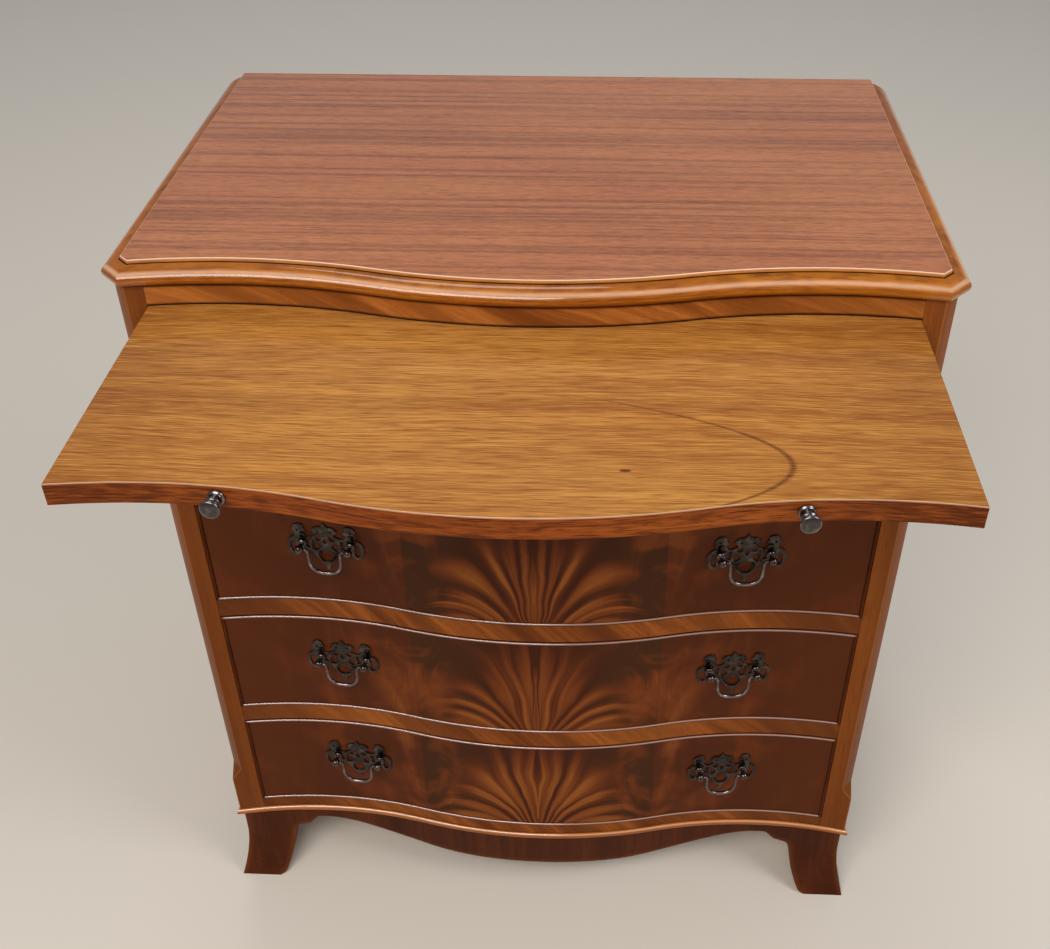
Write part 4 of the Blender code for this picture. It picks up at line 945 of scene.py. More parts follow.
# %% Knobs
KNOB_X = 0.2095
KNOB_ROWS = 90
KNOB_STATIONS = [  # millimetres from the front, outward below 0; radius; edge field
    (-17.0, 0.4, 0.2), (-17.2, 3.51, 0.2), (-16.9, 5.928, 0.3), (-16.1, 7.41, 0.9), (-14.9, 7.8, 1.0),
    (-13.7, 7.254, 0.6), (-12.9, 6.24, 0.0), (-11.9, 4.86, -0.8), (-10.7, 5.04, -0.6), (-9.4, 6.12, 0.5),
    (-8.2, 6.12, 0.5), (-7.0, 4.86, -0.7), (-4.8, 5.04, -0.6), (-3.4, 5.148, 0.6), (-2.0, 6.396, 0.9),
    (-0.6, 6.396, 0.4), (-0.1, 4.68, -0.5), (1.2, 2.16, 0.0),
]


def turned(name, profile, sides=40):
    """Turn a profile of (y, radius, edge) rows about the Y axis."""
    y, radius, edge = (profile[:, [k]] for k in range(3))
    turn = full_turn(sides)
    return surface(name, grid(radius * np.cos(turn), y, radius * np.sin(turn)), edge=edge, sharp=40.0)


def smooth_profile(stations, count):
    """Pass a smooth cubic curve through stations in millimetres and return count rows of it in metres.

    Between two stations the curve is the sum of both, each times its smooth step, and of both
    slopes, each times a cubic that is flat at the far station.
    """
    stations = np.array(stations) * [MILLIMETRE, MILLIMETRE, 1.0]
    at = np.linspace(0, len(stations) - 1, count)
    before = np.clip(at.astype(int), 0, len(stations) - 2)
    share = (at - before)[:, None]
    slope = np.gradient(stations, axis=0)
    return (stations[before] * (1 - smooth_step(share)) + stations[before + 1] * smooth_step(share)
            + slope[before] * share * (1 - share)**2 - slope[before + 1] * share**2 * (1 - share))


def front_frame(x, z):
    """Return the place on the front at x: X along the curve, -Y outward, Z up."""
    step = 0.0005
    angle = math.atan2(float(front_line(x + step) - front_line(x - step)), 2 * step)
    return Matrix.Translation((x, float(front_line(x)), z)) @ Matrix.Rotation(angle, 4, "Z")


knob = turned("slide_knob", smooth_profile(KNOB_STATIONS, KNOB_ROWS))
knob_z = (slide_low + slide_high) / 2
for hand, x in (("left", -KNOB_X), ("right", KNOB_X)):
    place = Matrix.Translation((0.0, -SLIDE_TRAVEL, 0.0)) @ front_frame(x, knob_z)
    piece(f"slide_knob_{hand}_turned", moved(knob, place), KNOB_BRASS, "slide",
          [f"slide_knob_{hand}"])
print("two knobs turned")

# %% [markdown]
# ## Corner stiles
#
# Each front corner is a stile with a cant along its outer corner. Near the foot the cant runs out in
# a curve called a lamb's tongue. The stile is one section carried upward, with the depth of the cant
# given by its height, and its corners eased at every level.

# %% Corner stiles
STILE_DEPTH = 0.040
STILE_CANT_X = 0.012
STILE_CANT_Y = 0.016
STILE_FOOT = 0.050
STILE_STOP = 0.024
STILE_EASE = 0.0009
STILE_MARK = 0.7
LEAST_CANT_X = 0.0006
LEAST_CANT_Y = 0.0007
FRONT_COLUMNS = 7
TONGUE_ROWS = 18
TONGUE_POWER = 1.15


def eased_corners(outline, corners, radius):
    """Cut the named corners of every row's outline and put a short curve of three points in each."""
    count = outline.shape[1]
    columns = []
    for i in range(count):
        here = outline[:, i]
        if i not in corners:
            columns.append(here[:, None])
            continue
        arms = []
        for other in (outline[:, i - 1], outline[:, (i + 1) % count]):
            arm = other - here
            length = np.linalg.norm(arm, axis=1, keepdims=True)
            arms.append(here + arm / length * np.minimum(radius, length * MOST_OF_SIDE))
        middle = (arms[0] + arms[1]) / 4 + here / 2
        columns.append(np.stack([arms[0], middle, arms[1]], axis=1))
    return np.concatenate(columns, axis=1)


def stile_mesh(name, low, high):
    """Carry the stile's section from low to high, with the cant running out in a lamb's tongue."""
    stop_at = low + STILE_FOOT
    climb = np.linspace(0.0, 1.0, TONGUE_ROWS)
    z = np.concatenate([[low, stop_at - 0.001], stop_at + STILE_STOP * climb, [high]])
    cant = np.concatenate([[0.0, 0.0], smooth_step(climb**TONGUE_POWER), [1.0]])
    inner, outer = OPENING_WIDTH / 2, CARCASS_HALF
    cut_x = outer - np.maximum(STILE_CANT_X * cant, LEAST_CANT_X)
    cut_y = front_line(outer) + np.maximum(STILE_CANT_Y * cant, LEAST_CANT_Y)
    front_x = inner + (cut_x - inner)[:, None] * np.linspace(0.0, 1.0, FRONT_COLUMNS)
    back_y = STILE_Y + STILE_DEPTH
    plan = np.concatenate([
        np.stack([front_x, front_line(front_x)], axis=-1),
        np.stack([np.full(len(z), outer), cut_y], axis=-1)[:, None],
        np.broadcast_to([[outer, back_y], [inner, back_y]], (len(z), 2, 2)),
    ], axis=1)
    plan = eased_corners(plan, {FRONT_COLUMNS - 1, FRONT_COLUMNS}, STILE_EASE)
    edge = np.zeros(plan.shape[1])
    edge[[FRONT_COLUMNS, FRONT_COLUMNS + 3]] = STILE_MARK
    return surface(name, at_levels(plan, z), edge=edge, sharp=38.0)


stile_low, stile_high = heights("stile_right")
right_stile = stile_mesh("stile_right_canted", stile_low, stile_high)
piece("stile_right_canted", right_stile, UPRIGHT, "carcass", ["stile_right"])
piece("stile_left_canted", moved(right_stile, MIRROR), UPRIGHT, "carcass", ["stile_left"])
print("stiles from", stile_low, "to", stile_high)

# %% [markdown]
# ## Base moulding
#
# A bead runs round the chest between carcass and base. It is one section carried along a path of
# three runs: down one side, along the front and back up the other, with a mitre at each corner.

# %% Base moulding
BASE_MOULDING_PROUD = 0.003
BASE_MOULDING_WIDTH = 0.045
BEAD_LOWER_SWEEP = 0.0024
BEAD_UPPER_SWEEP = 0.0042
# The bead's edge field is painted light and shade: shade over its lower round and most of its upper round,
# and a highlight line along the upper round.
BASE_BEAD_SHADE = -0.25
BASE_BEAD_HIGHLIGHT = 1.1

base_low, base_high = heights("base_moulding")
bead_half = (base_high - base_low) / 2
lower, upper = angles(-60, 0, 7), angles(0, 90, 10)[1:]
bead_section = np.concatenate([
    [[BASE_MOULDING_WIDTH, base_low, 0.0]],
    grid(BEAD_LOWER_SWEEP * (1 - np.cos(lower)),
         base_low + bead_half * (1 - np.sin(lower) / np.sin(lower[0])), BASE_BEAD_SHADE),
    grid(BEAD_UPPER_SWEEP * (1 - np.cos(upper)),
         base_low + bead_half * (1 + np.sin(upper)), painted_highlight_line(upper, 0.75, 0.28, BASE_BEAD_HIGHLIGHT, BASE_BEAD_SHADE)),
    [[BASE_MOULDING_WIDTH, base_high, 0.0]],
])
bead_out = BASE_MOULDING_PROUD - bead_section[:, 0]
bead_x = np.linspace(-1.0, 1.0, RUN_STATIONS)[:, None] * (CARCASS_HALF + bead_out)
bead_front = grid(bead_x, front_line(bead_x, bead_out), bead_section[:, 1])
bead_back = bead_front[[0, -1]].copy()
bead_back[..., 1] = STILE_Y + CARCASS_DEPTH
bead_points = np.concatenate([bead_back[:1], bead_front, bead_back[1:]])
bead_mesh = surface("base_moulding_beaded", bead_points, edge=bead_section[:, 2],
                    grain=run_grain(bead_points, 1.9))
piece("base_moulding_beaded", bead_mesh, BASE_BEADING, "carcass", ["base_moulding"])
print("base moulding between", base_low, "and", base_high)

# %% [markdown]
# ## Bracket bases
#
# The feet grow out of shaped boards: each foot sweeps in at the ankle and splays out to the floor, and
# the apron between the front feet drops in a long curve. A ladder of rungs describes such a board:
# each rung joins the outer edge to the inner one, and the board is bent to the front line.

# %% Bracket bases
BASE_INSET = 0.003
BRACKET_THICKNESS = 0.020
FOOT_WIDTH = 0.0520
FOOT_SPLAY = 0.0115
FOOT_FORWARD = 1.75
FOOT_SWEEP = 0.015
FOOT_HEIGHT = 0.053
FOOT_ROUND = 0.005
BRACKET_REACH = 0.036
ARCH_TOP = 0.0185
APRON_DROP = 0.053
APRON_FLAT = 0.005
FOOT_BLOCK = 0.023
FOOT_FADE = 1.35
FIRST_OGEE = (0.42, 0.22)
OGEE_LEVEL = (0.12, 0.30)
LAST_OGEE = (0.46, 0.42)
ANKLE_SHARE = 0.3
RUNG_COLUMNS = 9
TOE_RUNGS = 6
FOOT_RUNGS = 20
BRACKET_RUNGS = 25
APRON_RUNGS = 121
BRACKET_MARK = 0.25
MITRE_GAP = 0.00045
BASE_HALF = CARCASS_HALF - BASE_INSET
BASE_TOP = base_low - GLUE_GAP
ARCH_LEVEL = base_low - ARCH_TOP


def splay(z):
    """Return how far a foot stands out at height z: the square of the height left to the ankle."""
    return FOOT_SPLAY * np.maximum(0.0, 1.0 - z / (FOOT_HEIGHT * FOOT_FADE))**2


def foot_edge(z):
    """Return how far the foot's inner edge lies from its outer face: a parabola, rounded at the toe."""
    climb = np.minimum(z / FOOT_HEIGHT, 1.0)
    toe = FOOT_ROUND * np.maximum(0.0, 1.0 - z / FOOT_ROUND)**2
    return FOOT_WIDTH - FOOT_SPLAY + FOOT_SWEEP * (1.0 - (1.0 - climb)**2) - toe


def foot_ladder(stand):
    """Return the outer and inner ends of a foot's rungs, each (distance in, height).

    The rungs climb the foot, turn its upper corner in two small ogees with a slow rise between them,
    and end where the bracket meets the level apron. Each ogee pair is its rise and its share of the
    reach; the first is a parabola, the last a smooth step.
    """
    climb = np.concatenate([np.linspace(0.0, FOOT_ROUND, TOE_RUNGS),
                            np.linspace(FOOT_ROUND, FOOT_HEIGHT, FOOT_RUNGS)[1:]])
    reach = np.linspace(0.0, 1.0, BRACKET_RUNGS)[1:]
    ogee = FIRST_OGEE[0] * (1.0 - (1.0 - np.minimum(reach / FIRST_OGEE[1], 1.0))**2)
    ogee = ogee + OGEE_LEVEL[0] * np.clip((reach - FIRST_OGEE[1]) / OGEE_LEVEL[1], 0, 1)
    last = np.clip((reach - FIRST_OGEE[1] - OGEE_LEVEL[1]) / LAST_OGEE[1], 0, 1)
    ogee = ogee + LAST_OGEE[0] * smooth_step(last)
    toe = foot_edge(FOOT_HEIGHT)
    ankle = FOOT_HEIGHT + (BASE_TOP - FOOT_HEIGHT) * np.minimum(reach / ANKLE_SHARE, 1.0)
    level_in = (toe + BRACKET_REACH) * np.clip((reach - ANKLE_SHARE) / (1.0 - ANKLE_SHARE), 0, 1)
    outer_in = np.concatenate([-splay(climb) * stand, level_in - splay(ankle) * stand])
    inner_in = np.concatenate([foot_edge(climb), toe + BRACKET_REACH * reach])
    inner_z = np.concatenate([climb, FOOT_HEIGHT + (ARCH_LEVEL - FOOT_HEIGHT) * ogee])
    return np.stack([outer_in, np.concatenate([climb, ankle])], axis=1), np.stack([inner_in, inner_z], axis=1)


def apron_edge(x, arch_end):
    """Return the apron's lower edge: half a cosine wave of the squared distance from the middle."""
    share = np.minimum(np.abs(x) / (arch_end - APRON_FLAT), 1.0)
    lowest = base_low - APRON_DROP
    return lowest + (ARCH_LEVEL - lowest) * (0.5 - 0.5 * np.cos(np.pi * share**2))


def face_y(x, z, inward):
    """Return y of the front bracket's face, which the mitred side brackets share.

    A foot straightens towards the floor: the nearer it is to its full splay, the more the curved
    line gives way to the level line through the corner.
    """
    out = splay(z) * FOOT_FORWARD - BASE_INSET - inward
    curved = front_line(x, out)
    return curved + (front_line(BASE_HALF, out) - curved) * splay(z) / FOOT_SPLAY


outer, inner = foot_ladder(1.0)
arch_end = BASE_HALF - inner[-1, 0]
apron_x = np.linspace(-arch_end, arch_end, APRON_RUNGS)[1:-1]
apron_outer = np.stack([apron_x, np.full(len(apron_x), BASE_TOP)], axis=1)
apron_inner = np.stack([apron_x, apron_edge(apron_x, arch_end)], axis=1)
to_left = np.array([-BASE_HALF, 0.0])
flip = np.array([-1.0, 1.0])
front_outer = np.concatenate([outer + to_left, apron_outer, (outer[::-1] + to_left) * flip])
front_inner = np.concatenate([inner + to_left, apron_inner, (inner[::-1] + to_left) * flip])


def rungs(outer_ends, inner_ends):
    """Return the points along every rung, as two grids: the place along the chest and the height."""
    share = np.linspace(0.0, 1.0, RUNG_COLUMNS)[:, None]
    drawn = outer_ends[:, None] * (1 - share) + inner_ends[:, None] * share
    return drawn[..., 0], drawn[..., 1]


def front_sheet(inward):
    """Return the front bracket's face, moved inward, as a grid of points; its ends are mitred."""
    ends = front_outer.copy()
    ends[:, 0] -= np.where(np.abs(ends[:, 0]) >= BASE_HALF, np.sign(ends[:, 0]) * inward, 0.0)
    x, z = rungs(ends, front_inner)
    plain = np.abs(x) < BASE_HALF - 2 * FOOT_WIDTH
    return grid(x, face_y(x, np.where(plain, base_low, z), inward), z)


def bracket_board(name, sheet):
    """Close the outer and the inner sheet of a bracket into one board."""
    points = np.concatenate([sheet(0.0), sheet(BRACKET_THICKNESS)[:, ::-1]], axis=1)
    edge = np.zeros(points.shape[1])
    edge[[0, RUNG_COLUMNS - 1]] = BRACKET_MARK
    return surface(name, points, edge=edge, sharp=38.0)


piece("front_bracket_shaped", bracket_board("front_bracket_shaped", front_sheet), DARK, "carcass",
      ["front_bracket_base"])

corner_y = float(front_line(BASE_HALF, -BASE_INSET))
rear_y = STILE_Y + CARCASS_DEPTH
rear_outer, rear_inner = foot_ladder(0.0)
side_outer = np.concatenate([outer + [corner_y, 0.0], rear_outer[::-1] * flip + [rear_y, 0.0]])
side_inner = np.concatenate([inner + [corner_y, 0.0], rear_inner[::-1] * flip + [rear_y, 0.0]])


def side_sheet(inward):
    """Return the right side bracket's face, moved inward; its front end is cut to the mitre."""
    ends = side_outer.copy()
    x_end = BASE_HALF + splay(ends[:, 1]) - inward
    mitre = face_y(x_end, ends[:, 1], inward) + MITRE_GAP
    ends[:, 0] = np.where(ends[:, 0] <= corner_y, mitre, ends[:, 0])
    y, z = rungs(ends, side_inner)
    return grid(BASE_HALF + splay(z) - inward, y, z)


block_x = BASE_HALF - BRACKET_THICKNESS
behind = front_line(np.array([block_x - FOOT_BLOCK, block_x]), -BASE_INSET - BRACKET_THICKNESS)
blocks = [block("foot_block", (block_x - FOOT_BLOCK, y, GLUE_GAP),
                (block_x, y + FOOT_BLOCK, BASE_TOP - GLUE_GAP))
          for y in (float(behind.max()) + GLUE_GAP, rear_y - FOOT_BLOCK - GLUE_GAP)]
right_bracket = bracket_board("side_bracket_right_shaped", side_sheet)
right_blocks = merged("foot_blocks_right", blocks)
piece("side_bracket_right_shaped", right_bracket, DARK, "carcass", ["side_bracket_right"])
piece("side_bracket_left_shaped", moved(right_bracket, MIRROR), DARK, "carcass",
      ["side_bracket_left"])
piece("foot_blocks_right", right_blocks, CARCASS_WOOD, "carcass")
piece("foot_blocks_left", moved(right_blocks, MIRROR), CARCASS_WOOD, "carcass")
print("bracket bases drawn; apron arch ends at", round(arch_end, 4))

# %% [markdown]
# ## Drawer fronts
#
# A drawer front holds joinery: sockets for the dovetails, a groove for the bottom and holes for the
# handle bolts. The solid has all of these, with the curve in a few flat facets. Rather than draw the
# joints again, a copy of the solid is cut into narrow strips, and every point is moved from the facet
# to the true arc, so the front becomes smooth and keeps its joints.

# %% Drawer fronts
STATIONS = 14
DRAWER_CLEARANCE = 0.0008
BEAD_THICKNESS = 0.003
BEAD_DEPTH = 0.009
BEAD_PROUD = 0.002
FRONT_RECESS = 0.0005
DRAWER_HALF = OPENING_WIDTH / 2 - DRAWER_CLEARANCE
FACE_HALF = DRAWER_HALF - BEAD_THICKNESS - GLUE_GAP
STRIPS = 113
VENEER = 0.0006
VENEER_STATIONS = 181
WELD = 0.000002
FACE_TOLERANCE = 0.00002


def smooth_copy(node, half, out):
    """Return a copy of a faceted serpentine solid with its points moved from the chords to the arcs.

    The points of its front face go back by a small step, to lie under the veneer.
    """
    def cut(work):
        """Cut the solid into strips between its own stations."""
        bmesh.ops.remove_doubles(work, verts=work.verts, dist=WELD)
        for i, x in enumerate(np.linspace(-half, half, STRIPS)):
            if i % (STRIPS // STATIONS):
                bmesh.ops.bisect_plane(work, geom=work.verts[:] + work.edges[:] + work.faces[:],
                                       dist=WELD / 2, plane_co=(x, 0, 0), plane_no=(1, 0, 0))
        bmesh.ops.dissolve_degenerate(work, edges=work.edges, dist=WELD)

    mesh = merged(node, [nodes[node].data], cut)
    places = mesh_points(mesh)
    stations = np.linspace(-half, half, STATIONS + 1)
    chord = np.interp(places[:, 0], stations, front_line(stations, out))
    on_face = places[:, 1] < chord + FACE_TOLERANCE
    places[:, 1] += front_line(places[:, 0], out) - chord + np.where(on_face, VENEER / 2, 0.0)
    mesh.vertices.foreach_set("co", places.ravel())
    outward(mesh)
    mesh.shade_flat()
    return mesh


drawer_lows = {number: heights(f"drawer_{number}_front")[0] for number in (1, 2, 3, 4)}
front_low, front_high = heights("drawer_1_front")
drawer_height = front_high - front_low
core = smooth_copy("drawer_1_front", FACE_HALF, -FRONT_RECESS)
veneer_section = np.array([(-FRONT_RECESS - VENEER, front_low), (-FRONT_RECESS, front_low),
                           (-FRONT_RECESS, front_high), (-FRONT_RECESS - VENEER, front_high)])
veneer_xs = np.linspace(-FACE_HALF, FACE_HALF, VENEER_STATIONS)
sheet = surface("veneer", serpentine_grid(veneer_xs, veneer_section))
first_front = merged("drawer_front", [core, sheet])
for number, low in drawer_lows.items():
    drop = Matrix.Translation((0.0, 0.0, low - front_low))
    veneer = flame(f"flame_veneer_{number}", low, 3.0 + 2.7 * number)
    item = piece(f"drawer_{number}_front_veneered", moved(first_front, drop), [CARCASS_WOOD, veneer],
                 f"drawer_{number}", [f"drawer_{number}_front"])
    second_finish(item.data, np.arange(len(first_front.polygons)) >= len(core.polygons))
print("drawer fronts", [round(low, 4) for low in drawer_lows.values()], "height", round(drawer_height, 4))

# %% [markdown]
# ## Cockbeads
#
# A thin bead is let in round each drawer front. It guards the veneer's edge. On its level runs the
# upper half of the round nose carries a painted highlight, the bright line above and below every
# drawer, and the upright runs and the hidden root are painted in shade. Its section goes once round
# the front, mitred at the four corners.

# %% Cockbeads
# Painted shade: the upright runs and the root of the bead are darkened.
COCKBEAD_SHADE = -0.5

nose_angle = angles(-80, 80, 11)
nose_radius = BEAD_THICKNESS / 2
root = GLUE_GAP - BEAD_DEPTH
bead_out = np.array([root, *(BEAD_PROUD - nose_radius * (1 - np.cos(nose_angle))), root]) - FRONT_RECESS
bead_across = np.array([0.0, *(nose_radius * (1 + np.sin(nose_angle))), BEAD_THICKNESS])
bead_across[[1, -2]] = [0.0, BEAD_THICKNESS]
bead_run = np.linspace(-1.0, 1.0, RUN_STATIONS)[:, None]
bead_parts = []
for shares, z in ((bead_run, bead_across), (bead_run[::-1], drawer_height - bead_across)):
    x = shares * np.where(np.abs(shares) == 1.0, DRAWER_HALF - bead_across, DRAWER_HALF)
    bead_parts.append(grid(x, front_line(x, bead_out), z))
cockbead_points = np.concatenate(bead_parts)
level_runs = np.abs(cockbead_points[:, :1, 0]) < DRAWER_HALF - WELD
# Painted highlight: a bell of the edge field on the upper half of the nose, on the level runs only.
painted_highlight_band = painted_highlight_line(nose_angle, 0.7, 0.38)
nose_edge = np.repeat([painted_highlight_band, painted_highlight_band[::-1]], RUN_STATIONS, axis=0)
nose_edge = np.where(level_runs, nose_edge, COCKBEAD_SHADE)
cockbead_edge = np.pad(nose_edge, ((0, 0), (1, 1)), constant_values=COCKBEAD_SHADE)
first_bead = surface("cockbead", cockbead_points, ring=True, edge=cockbead_edge,
                     grain=run_grain(cockbead_points, 2.6))
for number, low in drawer_lows.items():
    lift = Matrix.Translation((0.0, 0.0, low))
    piece(f"drawer_{number}_cockbead_rounded", moved(first_bead, lift), BEADING, f"drawer_{number}",
          [f"drawer_{number}_cockbead"])
print("cockbeads", len(first_bead.polygons), "faces each")

# %% [markdown]
# ## Pierced backplates
#
# A swan-neck handle stands on a thin pierced plate. Its outline is a few corners joined by arcs, each
# given by its bulge, the arc's height over half its chord. The flat outline is filled and given its
# thickness with a small bevel by a curve object, and the flat plate is then bent to the front.

# %% Plate outline
PLATE_OUTLINE = [
    (0.0, 26.5, 0.0), (1.5, 24.0, -0.25), (5.2, 21.0, 0.25), (10.6, 19.6, 0.2), (13.2, 15.2, 0.12),
    (9.4, 12.2, -0.3), (11.6, 8.9, -0.15), (19.4, 7.6, 0.25), (22.0, 12.6, 0.5), (19.4, 17.0, -0.45),
    (20.6, 21.8, 0.35), (28.8, 23.4, 0.3), (32.8, 17.0, -0.12), (31.4, 8.2, 0.1), (36.6, 5.6, 0.28),
    (39.2, -5.0, 0.28), (33.4, -17.4, 0.35), (27.6, -14.0, -0.2), (23.6, -9.8, 0.2), (18.4, -8.8, -0.12),
    (14.6, -10.4, 0.1), (10.0, -17.6, 0.16), (4.2, -26.6, -0.2), (2.2, -29.4, 0.3), (0.0, -34.5, 0.0),
]
PLATE_SIDE_OPENINGS = [
    [(31.4, 3.0), (35.2, 1.6), (36.5, -5.0), (34.8, -11.6), (31.8, -14.4), (29.8, -10.4), (30.4, -4.0)],
    [(15.2, 5.2), (19.4, 4.4), (19.8, -5.4), (15.8, -6.4), (16.8, -0.8)],
    [(11.8, 2.6), (13.6, -2.6), (11.6, -9.2), (9.0, -8.2), (5.8, -4.6), (8.2, 0.4)],
    [(4.0, 9.2), (8.4, 9.2), (10.6, 5.8), (7.8, 3.0), (4.6, 5.0)],
]
PLATE_MIDDLE_OPENINGS = [
    [(0.0, 7.6), (2.6, 3.4), (0.0, -1.2), (-2.6, 3.4)],
    [(3.6, -10.0), (6.9, -14.0), (6.4, -19.4), (3.2, -23.4), (-3.2, -23.4), (-6.4, -19.4), (-6.9, -14.0),
     (-3.6, -10.0), (0.0, -8.2)],
]
PLATE_CREST_HOLES = [(6.4, 15.4, 1.1), (27.4, 16.2, 1.2)]
PLATE_THICKNESS = 0.0016
PLATE_BEVEL = 0.00035
PLATE_STEP = math.radians(10)
PLATE_WELD = 0.0000005
HOLE_SIDES = 14
CORNER_EASE = 1.1


def arc_points(start, end, bulge):
    """Return points from start up to, and without, end along an arc of that bulge."""
    start, end = np.array(start), np.array(end)
    if not bulge:
        return start[None]
    chord = end - start
    length = np.linalg.norm(chord)
    across = np.array([-chord[1], chord[0]]) / length
    sweep = 4 * math.atan(bulge)
    share = np.linspace(0.0, 1.0, max(2, round(abs(sweep) / PLATE_STEP)), endpoint=False)
    angle = sweep * (share - 0.5)
    radius = length / 2 / math.sin(sweep / 2)
    along = 0.5 + radius * np.sin(angle) / length
    height = radius * (np.cos(angle) - math.cos(sweep / 2))
    return start + chord * along[:, None] + across * height[:, None]


def eased_opening(corners):
    """Return an opening's outline with its corners rounded by short quadratic curves."""
    corners = np.array(corners)
    t = np.linspace(0.0, 1.0, 6)[:, None]
    parts = []
    for before, here, after in zip(np.roll(corners, 1, 0), corners, np.roll(corners, -1, 0)):
        enter, leave = (here + (other - here) * min(MOST_OF_SIDE, CORNER_EASE / np.linalg.norm(other - here))
                        for other in (before, after))
        parts.append((1 - t)**2 * enter + 2 * t * (1 - t) * here + t**2 * leave)
    return np.concatenate(parts)


def plate_loops():
    """Return the plate's outline, then its openings, in metres."""
    arcs = [arc_points(a[:2], b[:2], a[2]) for a, b in zip(PLATE_OUTLINE, PLATE_OUTLINE[1:])]
    right_half = np.concatenate(arcs + [[PLATE_OUTLINE[-1][:2]]])
    loops = [np.concatenate([right_half, right_half[::-1][1:-1] * [-1, 1]])]
    for corners in PLATE_SIDE_OPENINGS:
        opening = eased_opening(corners)
        loops += [opening, opening * [-1, 1]]
    loops += [eased_opening(corners) for corners in PLATE_MIDDLE_OPENINGS]
    turn = full_turn(HOLE_SIDES)
    for x, z, radius in PLATE_CREST_HOLES:
        loops += [np.stack([side * x + radius * np.cos(turn), z + radius * np.sin(turn)], axis=1)
                  for side in (-1, 1)]
    return [loop * MILLIMETRE for loop in loops]


def flat_plate():
    """Fill the outline round its openings and give it a bevelled thickness, as one closed mesh."""
    curve = bpy.data.curves.new("plate", "CURVE")
    curve.dimensions = "2D"
    curve.fill_mode = "BOTH"
    curve.extrude = PLATE_THICKNESS / 2 - PLATE_BEVEL
    curve.bevel_depth = PLATE_BEVEL
    curve.bevel_resolution = 1
    curve.offset = -PLATE_BEVEL
    for loop in plate_loops():
        spline = curve.splines.new("POLY")
        spline.points.add(len(loop) - 1)
        spline.points.foreach_set("co", np.hstack([loop, np.tile([0.0, 1.0], (len(loop), 1))]).ravel())
        spline.use_cyclic_u = True
    item = bpy.data.objects.new("plate", curve)
    scene.collection.objects.link(item)
    mesh = bpy.data.meshes.new_from_object(item.evaluated_get(bpy.context.evaluated_depsgraph_get()))
    bpy.data.objects.remove(item)
    return merged("plate", [mesh],
                  lambda work: bmesh.ops.remove_doubles(work, verts=work.verts, dist=PLATE_WELD))


plate_flat = flat_plate()
print("flat plate", len(plate_flat.polygons), "faces")

# %% [markdown]
# ## Handles
#
# Two posts stand on each plate, and the bail hangs in them on its two pins. The pins' axis is read
# from the frame, because the bail has to swing about exactly that line. The bail is a rod whose path
# has a pin, a quick bend, a nearly straight arm and a round foot.

# %% Handles
POST_SPACING = 0.050
POST_ROWS = 60
POST_STATIONS = [  # millimetres from the pins' line, outward below 0; radius; edge field
    (-4.59, 0.3, 0.3), (-4.41, 1.35, 0.6), (-3.24, 3.33, 0.9), (-0.9, 4.5, 0.6), (1.575, 4.14, 0.2),
    (3.825, 2.52, -0.3), (5.175, 1.89, -0.5), (6.9, 2.07, 0.0), (7.9, 3.51, 0.7), (8.9, 4.59, 0.8),
    (9.9, 4.77, 0.3), (10.4, 4.05, -0.6),
]
SHANK_RADIUS = 0.0019
SHANK_FROM = 0.0109
SHANK_TAIL = 0.002
NUT_FROM = 0.0323
NUT_RADIUS = 0.0052
NUT_THICKNESS = 0.0032
NUT_EASE = 0.0003
NUT_FACE = 0.92
BAIL_RADIUS = 0.0016
BAIL_SWELL = 0.22
PIN_RADIUS = 0.0011
PIN_PAST_POST = 0.0027
BAIL_HALF_WIDTH = 0.0168
BAIL_WAIST = 0.975
BAIL_DROP = 0.0290
BAIL_KNEE = 0.42
BAIL_BEND = 0.003
BAIL_POWER = 0.8
BAIL_MARKS = (0.3, 0.9)
BAIL_SIDES = 18

bail_joints = {joint["child"]: joint for joint in frame["joints"] if joint["type"] == "hinge"}


def handle_frame(number, hand):
    """Return the handle's place from its joint: X along the pins, -Y outward, origin on the pins' line."""
    joint = bail_joints[f"bail_{number}_{hand}"]
    along = Vector(joint["axis"])
    if along.x < 0:
        along = -along
    turn = Matrix((along, Vector((-along.y, along.x, 0.0)), Vector((0, 0, 1)))).transposed()
    return Matrix.Translation(joint["pos_m"]) @ turn.to_4x4()


def bent_plate(place):
    """Lay the flat plate against the drawer front: its x goes along the front, its thickness outward."""
    mesh = plate_flat.copy()
    flat = mesh_points(mesh)
    x = place.translation.x + flat[:, 0] * place[0][0]
    out = GLUE_GAP + PLATE_THICKNESS / 2 + flat[:, 2] - FRONT_RECESS
    mesh.vertices.foreach_set("co", grid(x, front_line(x, out), place.translation.z + flat[:, 1]).ravel())
    return outward(mesh, 50.0)


def post_mesh(side):
    """Turn one post in the handle's frame: a round head, a neck, a moulded collar, a shank and a nut."""
    nut_end = NUT_FROM + NUT_THICKNESS
    nut_face = NUT_RADIUS * NUT_FACE
    shank_and_nut = [
        (SHANK_FROM, SHANK_RADIUS, 0.0), (NUT_FROM, SHANK_RADIUS, 0.0), (NUT_FROM, nut_face, 0.5),
        (NUT_FROM + NUT_EASE, NUT_RADIUS, 0.5), (nut_end - NUT_EASE, NUT_RADIUS, 0.5),
        (nut_end, nut_face, 0.5), (nut_end, SHANK_RADIUS, 0.0), (nut_end + SHANK_TAIL, SHANK_RADIUS, 0.0)]
    post = turned("post", np.concatenate([smooth_profile(POST_STATIONS, POST_ROWS), shank_and_nut]), 28)
    return moved(post, Matrix.Translation((side * POST_SPACING / 2, 0.0, 0.0)))


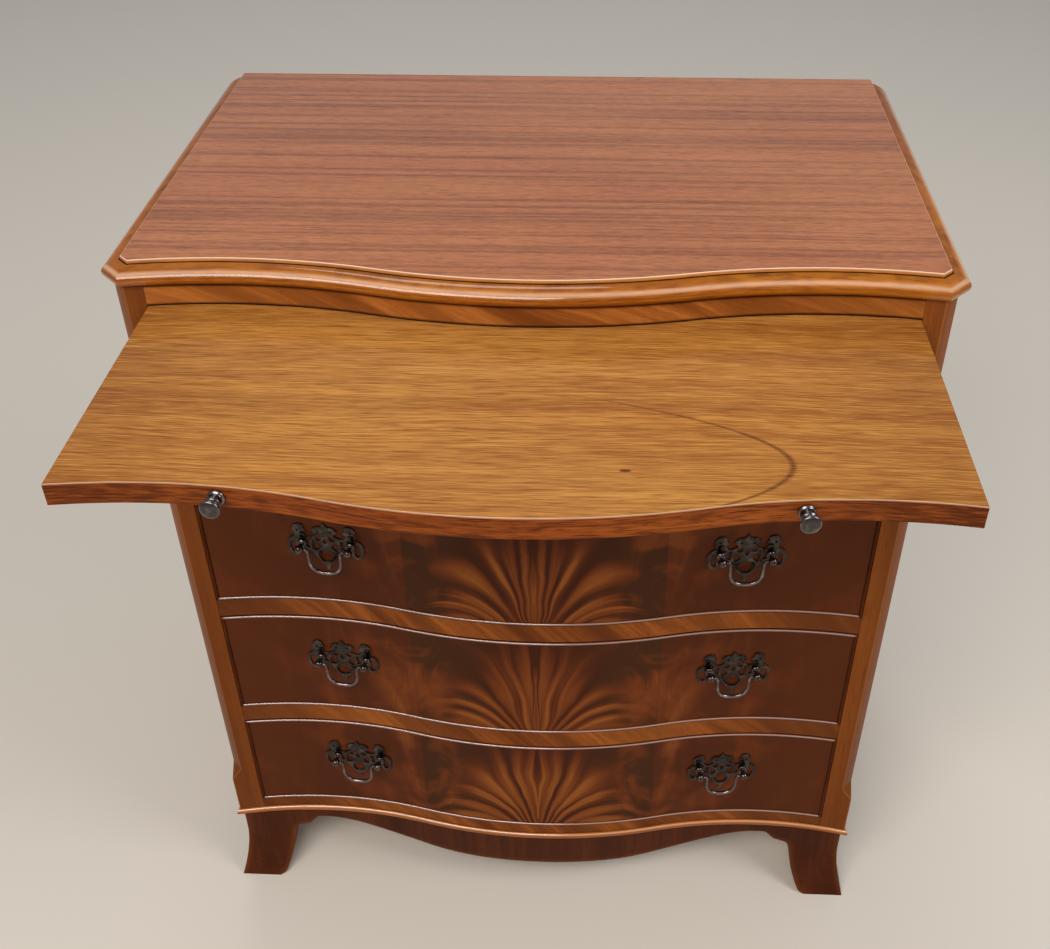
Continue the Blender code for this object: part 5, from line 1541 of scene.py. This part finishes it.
def bail_mesh():
    """Sweep a round rod along the bail: pin, quarter bend, arm and a foot shaped as a superellipse."""
    pin = np.linspace(POST_SPACING / 2 + PIN_PAST_POST, BAIL_HALF_WIDTH + BAIL_BEND, 8)
    bend = angles(0, 90, 10)[1:]
    foot = angles(0, 90, 34)[1:]
    knee = BAIL_DROP * BAIL_KNEE
    waist = BAIL_HALF_WIDTH * BAIL_WAIST
    x = np.concatenate([pin, BAIL_HALF_WIDTH + BAIL_BEND * (1 - np.sin(bend)), [waist],
                        waist * np.maximum(np.cos(foot), 0.0)**BAIL_POWER])
    z = np.concatenate([pin * 0, -BAIL_BEND * (1 - np.cos(bend)), [-knee],
                        -knee - (BAIL_DROP - knee) * np.sin(foot)**BAIL_POWER])
    x[-1] = 0.0
    x = np.concatenate([x, -x[-2::-1]])
    z = np.concatenate([z, z[-2::-1]])
    path = grid(x, 0.0, z)
    thick = smooth_step(np.clip((BAIL_HALF_WIDTH + BAIL_BEND * 1.4 - np.abs(x)) / (BAIL_BEND * 0.8), 0, 1))
    swell = 1 + BAIL_SWELL * np.clip((-z - knee) / (BAIL_DROP - knee), 0, 1)
    radius = (PIN_RADIUS + (BAIL_RADIUS - PIN_RADIUS) * thick) * swell
    along = np.gradient(path, axis=0)
    along /= np.linalg.norm(along, axis=1, keepdims=True)
    forward = np.array([0.0, 1.0, 0.0])
    turn = full_turn(BAIL_SIDES)[:, None]
    ring = np.cross(along, forward)[:, None] * np.cos(turn) + forward * np.sin(turn)
    edge = np.interp(-z, [0.0, BAIL_DROP], BAIL_MARKS)[:, None]
    return surface("bail", path[:, None] + ring * radius[:, None, None], edge=edge, sharp=60.0)


bail = bail_mesh()
posts = [post_mesh(side) for side in (-1, 1)]
for number in (1, 2, 3, 4):
    for hand in ("left", "right"):
        place = handle_frame(number, hand)
        body = merged("backplate", [bent_plate(place)] + [moved(post, place) for post in posts])
        body.set_sharp_from_angle(angle=math.radians(45))
        piece(f"drawer_{number}_backplate_{hand}_pierced", body, BRASS, f"drawer_{number}",
              [f"drawer_{number}_backplate_{hand}"])
        piece(f"drawer_{number}_bail_{hand}_bent", moved(bail, place), BAIL_BRASS, f"bail_{number}_{hand}",
              [f"drawer_{number}_bail_{hand}"])
print("eight handles hung")

# %% [markdown]
# ## Finishes on the solids that stay
#
# The flat boards inside the chest have the right shape as they are. They keep their solids and get a
# finish: mahogany on the outside, a pale plain wood for linings, back and bottoms.

# %% Finishes on the kept solids
kept_finishes = {"side_left": UPRIGHT, "side_right": UPRIGHT, "back_panel": LININGS, "bottom_board": LININGS}
for number in (1, 2, 3, 4):
    for board, material in (("side_left", LININGS_DEEP), ("side_right", LININGS_DEEP), ("back", LININGS),
                            ("bottom", LININGS)):
        kept_finishes[f"drawer_{number}_{board}"] = material
for name, material in kept_finishes.items():
    for slot in nodes[name].material_slots:
        slot.material = material
print(len(kept_finishes), "solids kept with a new finish")
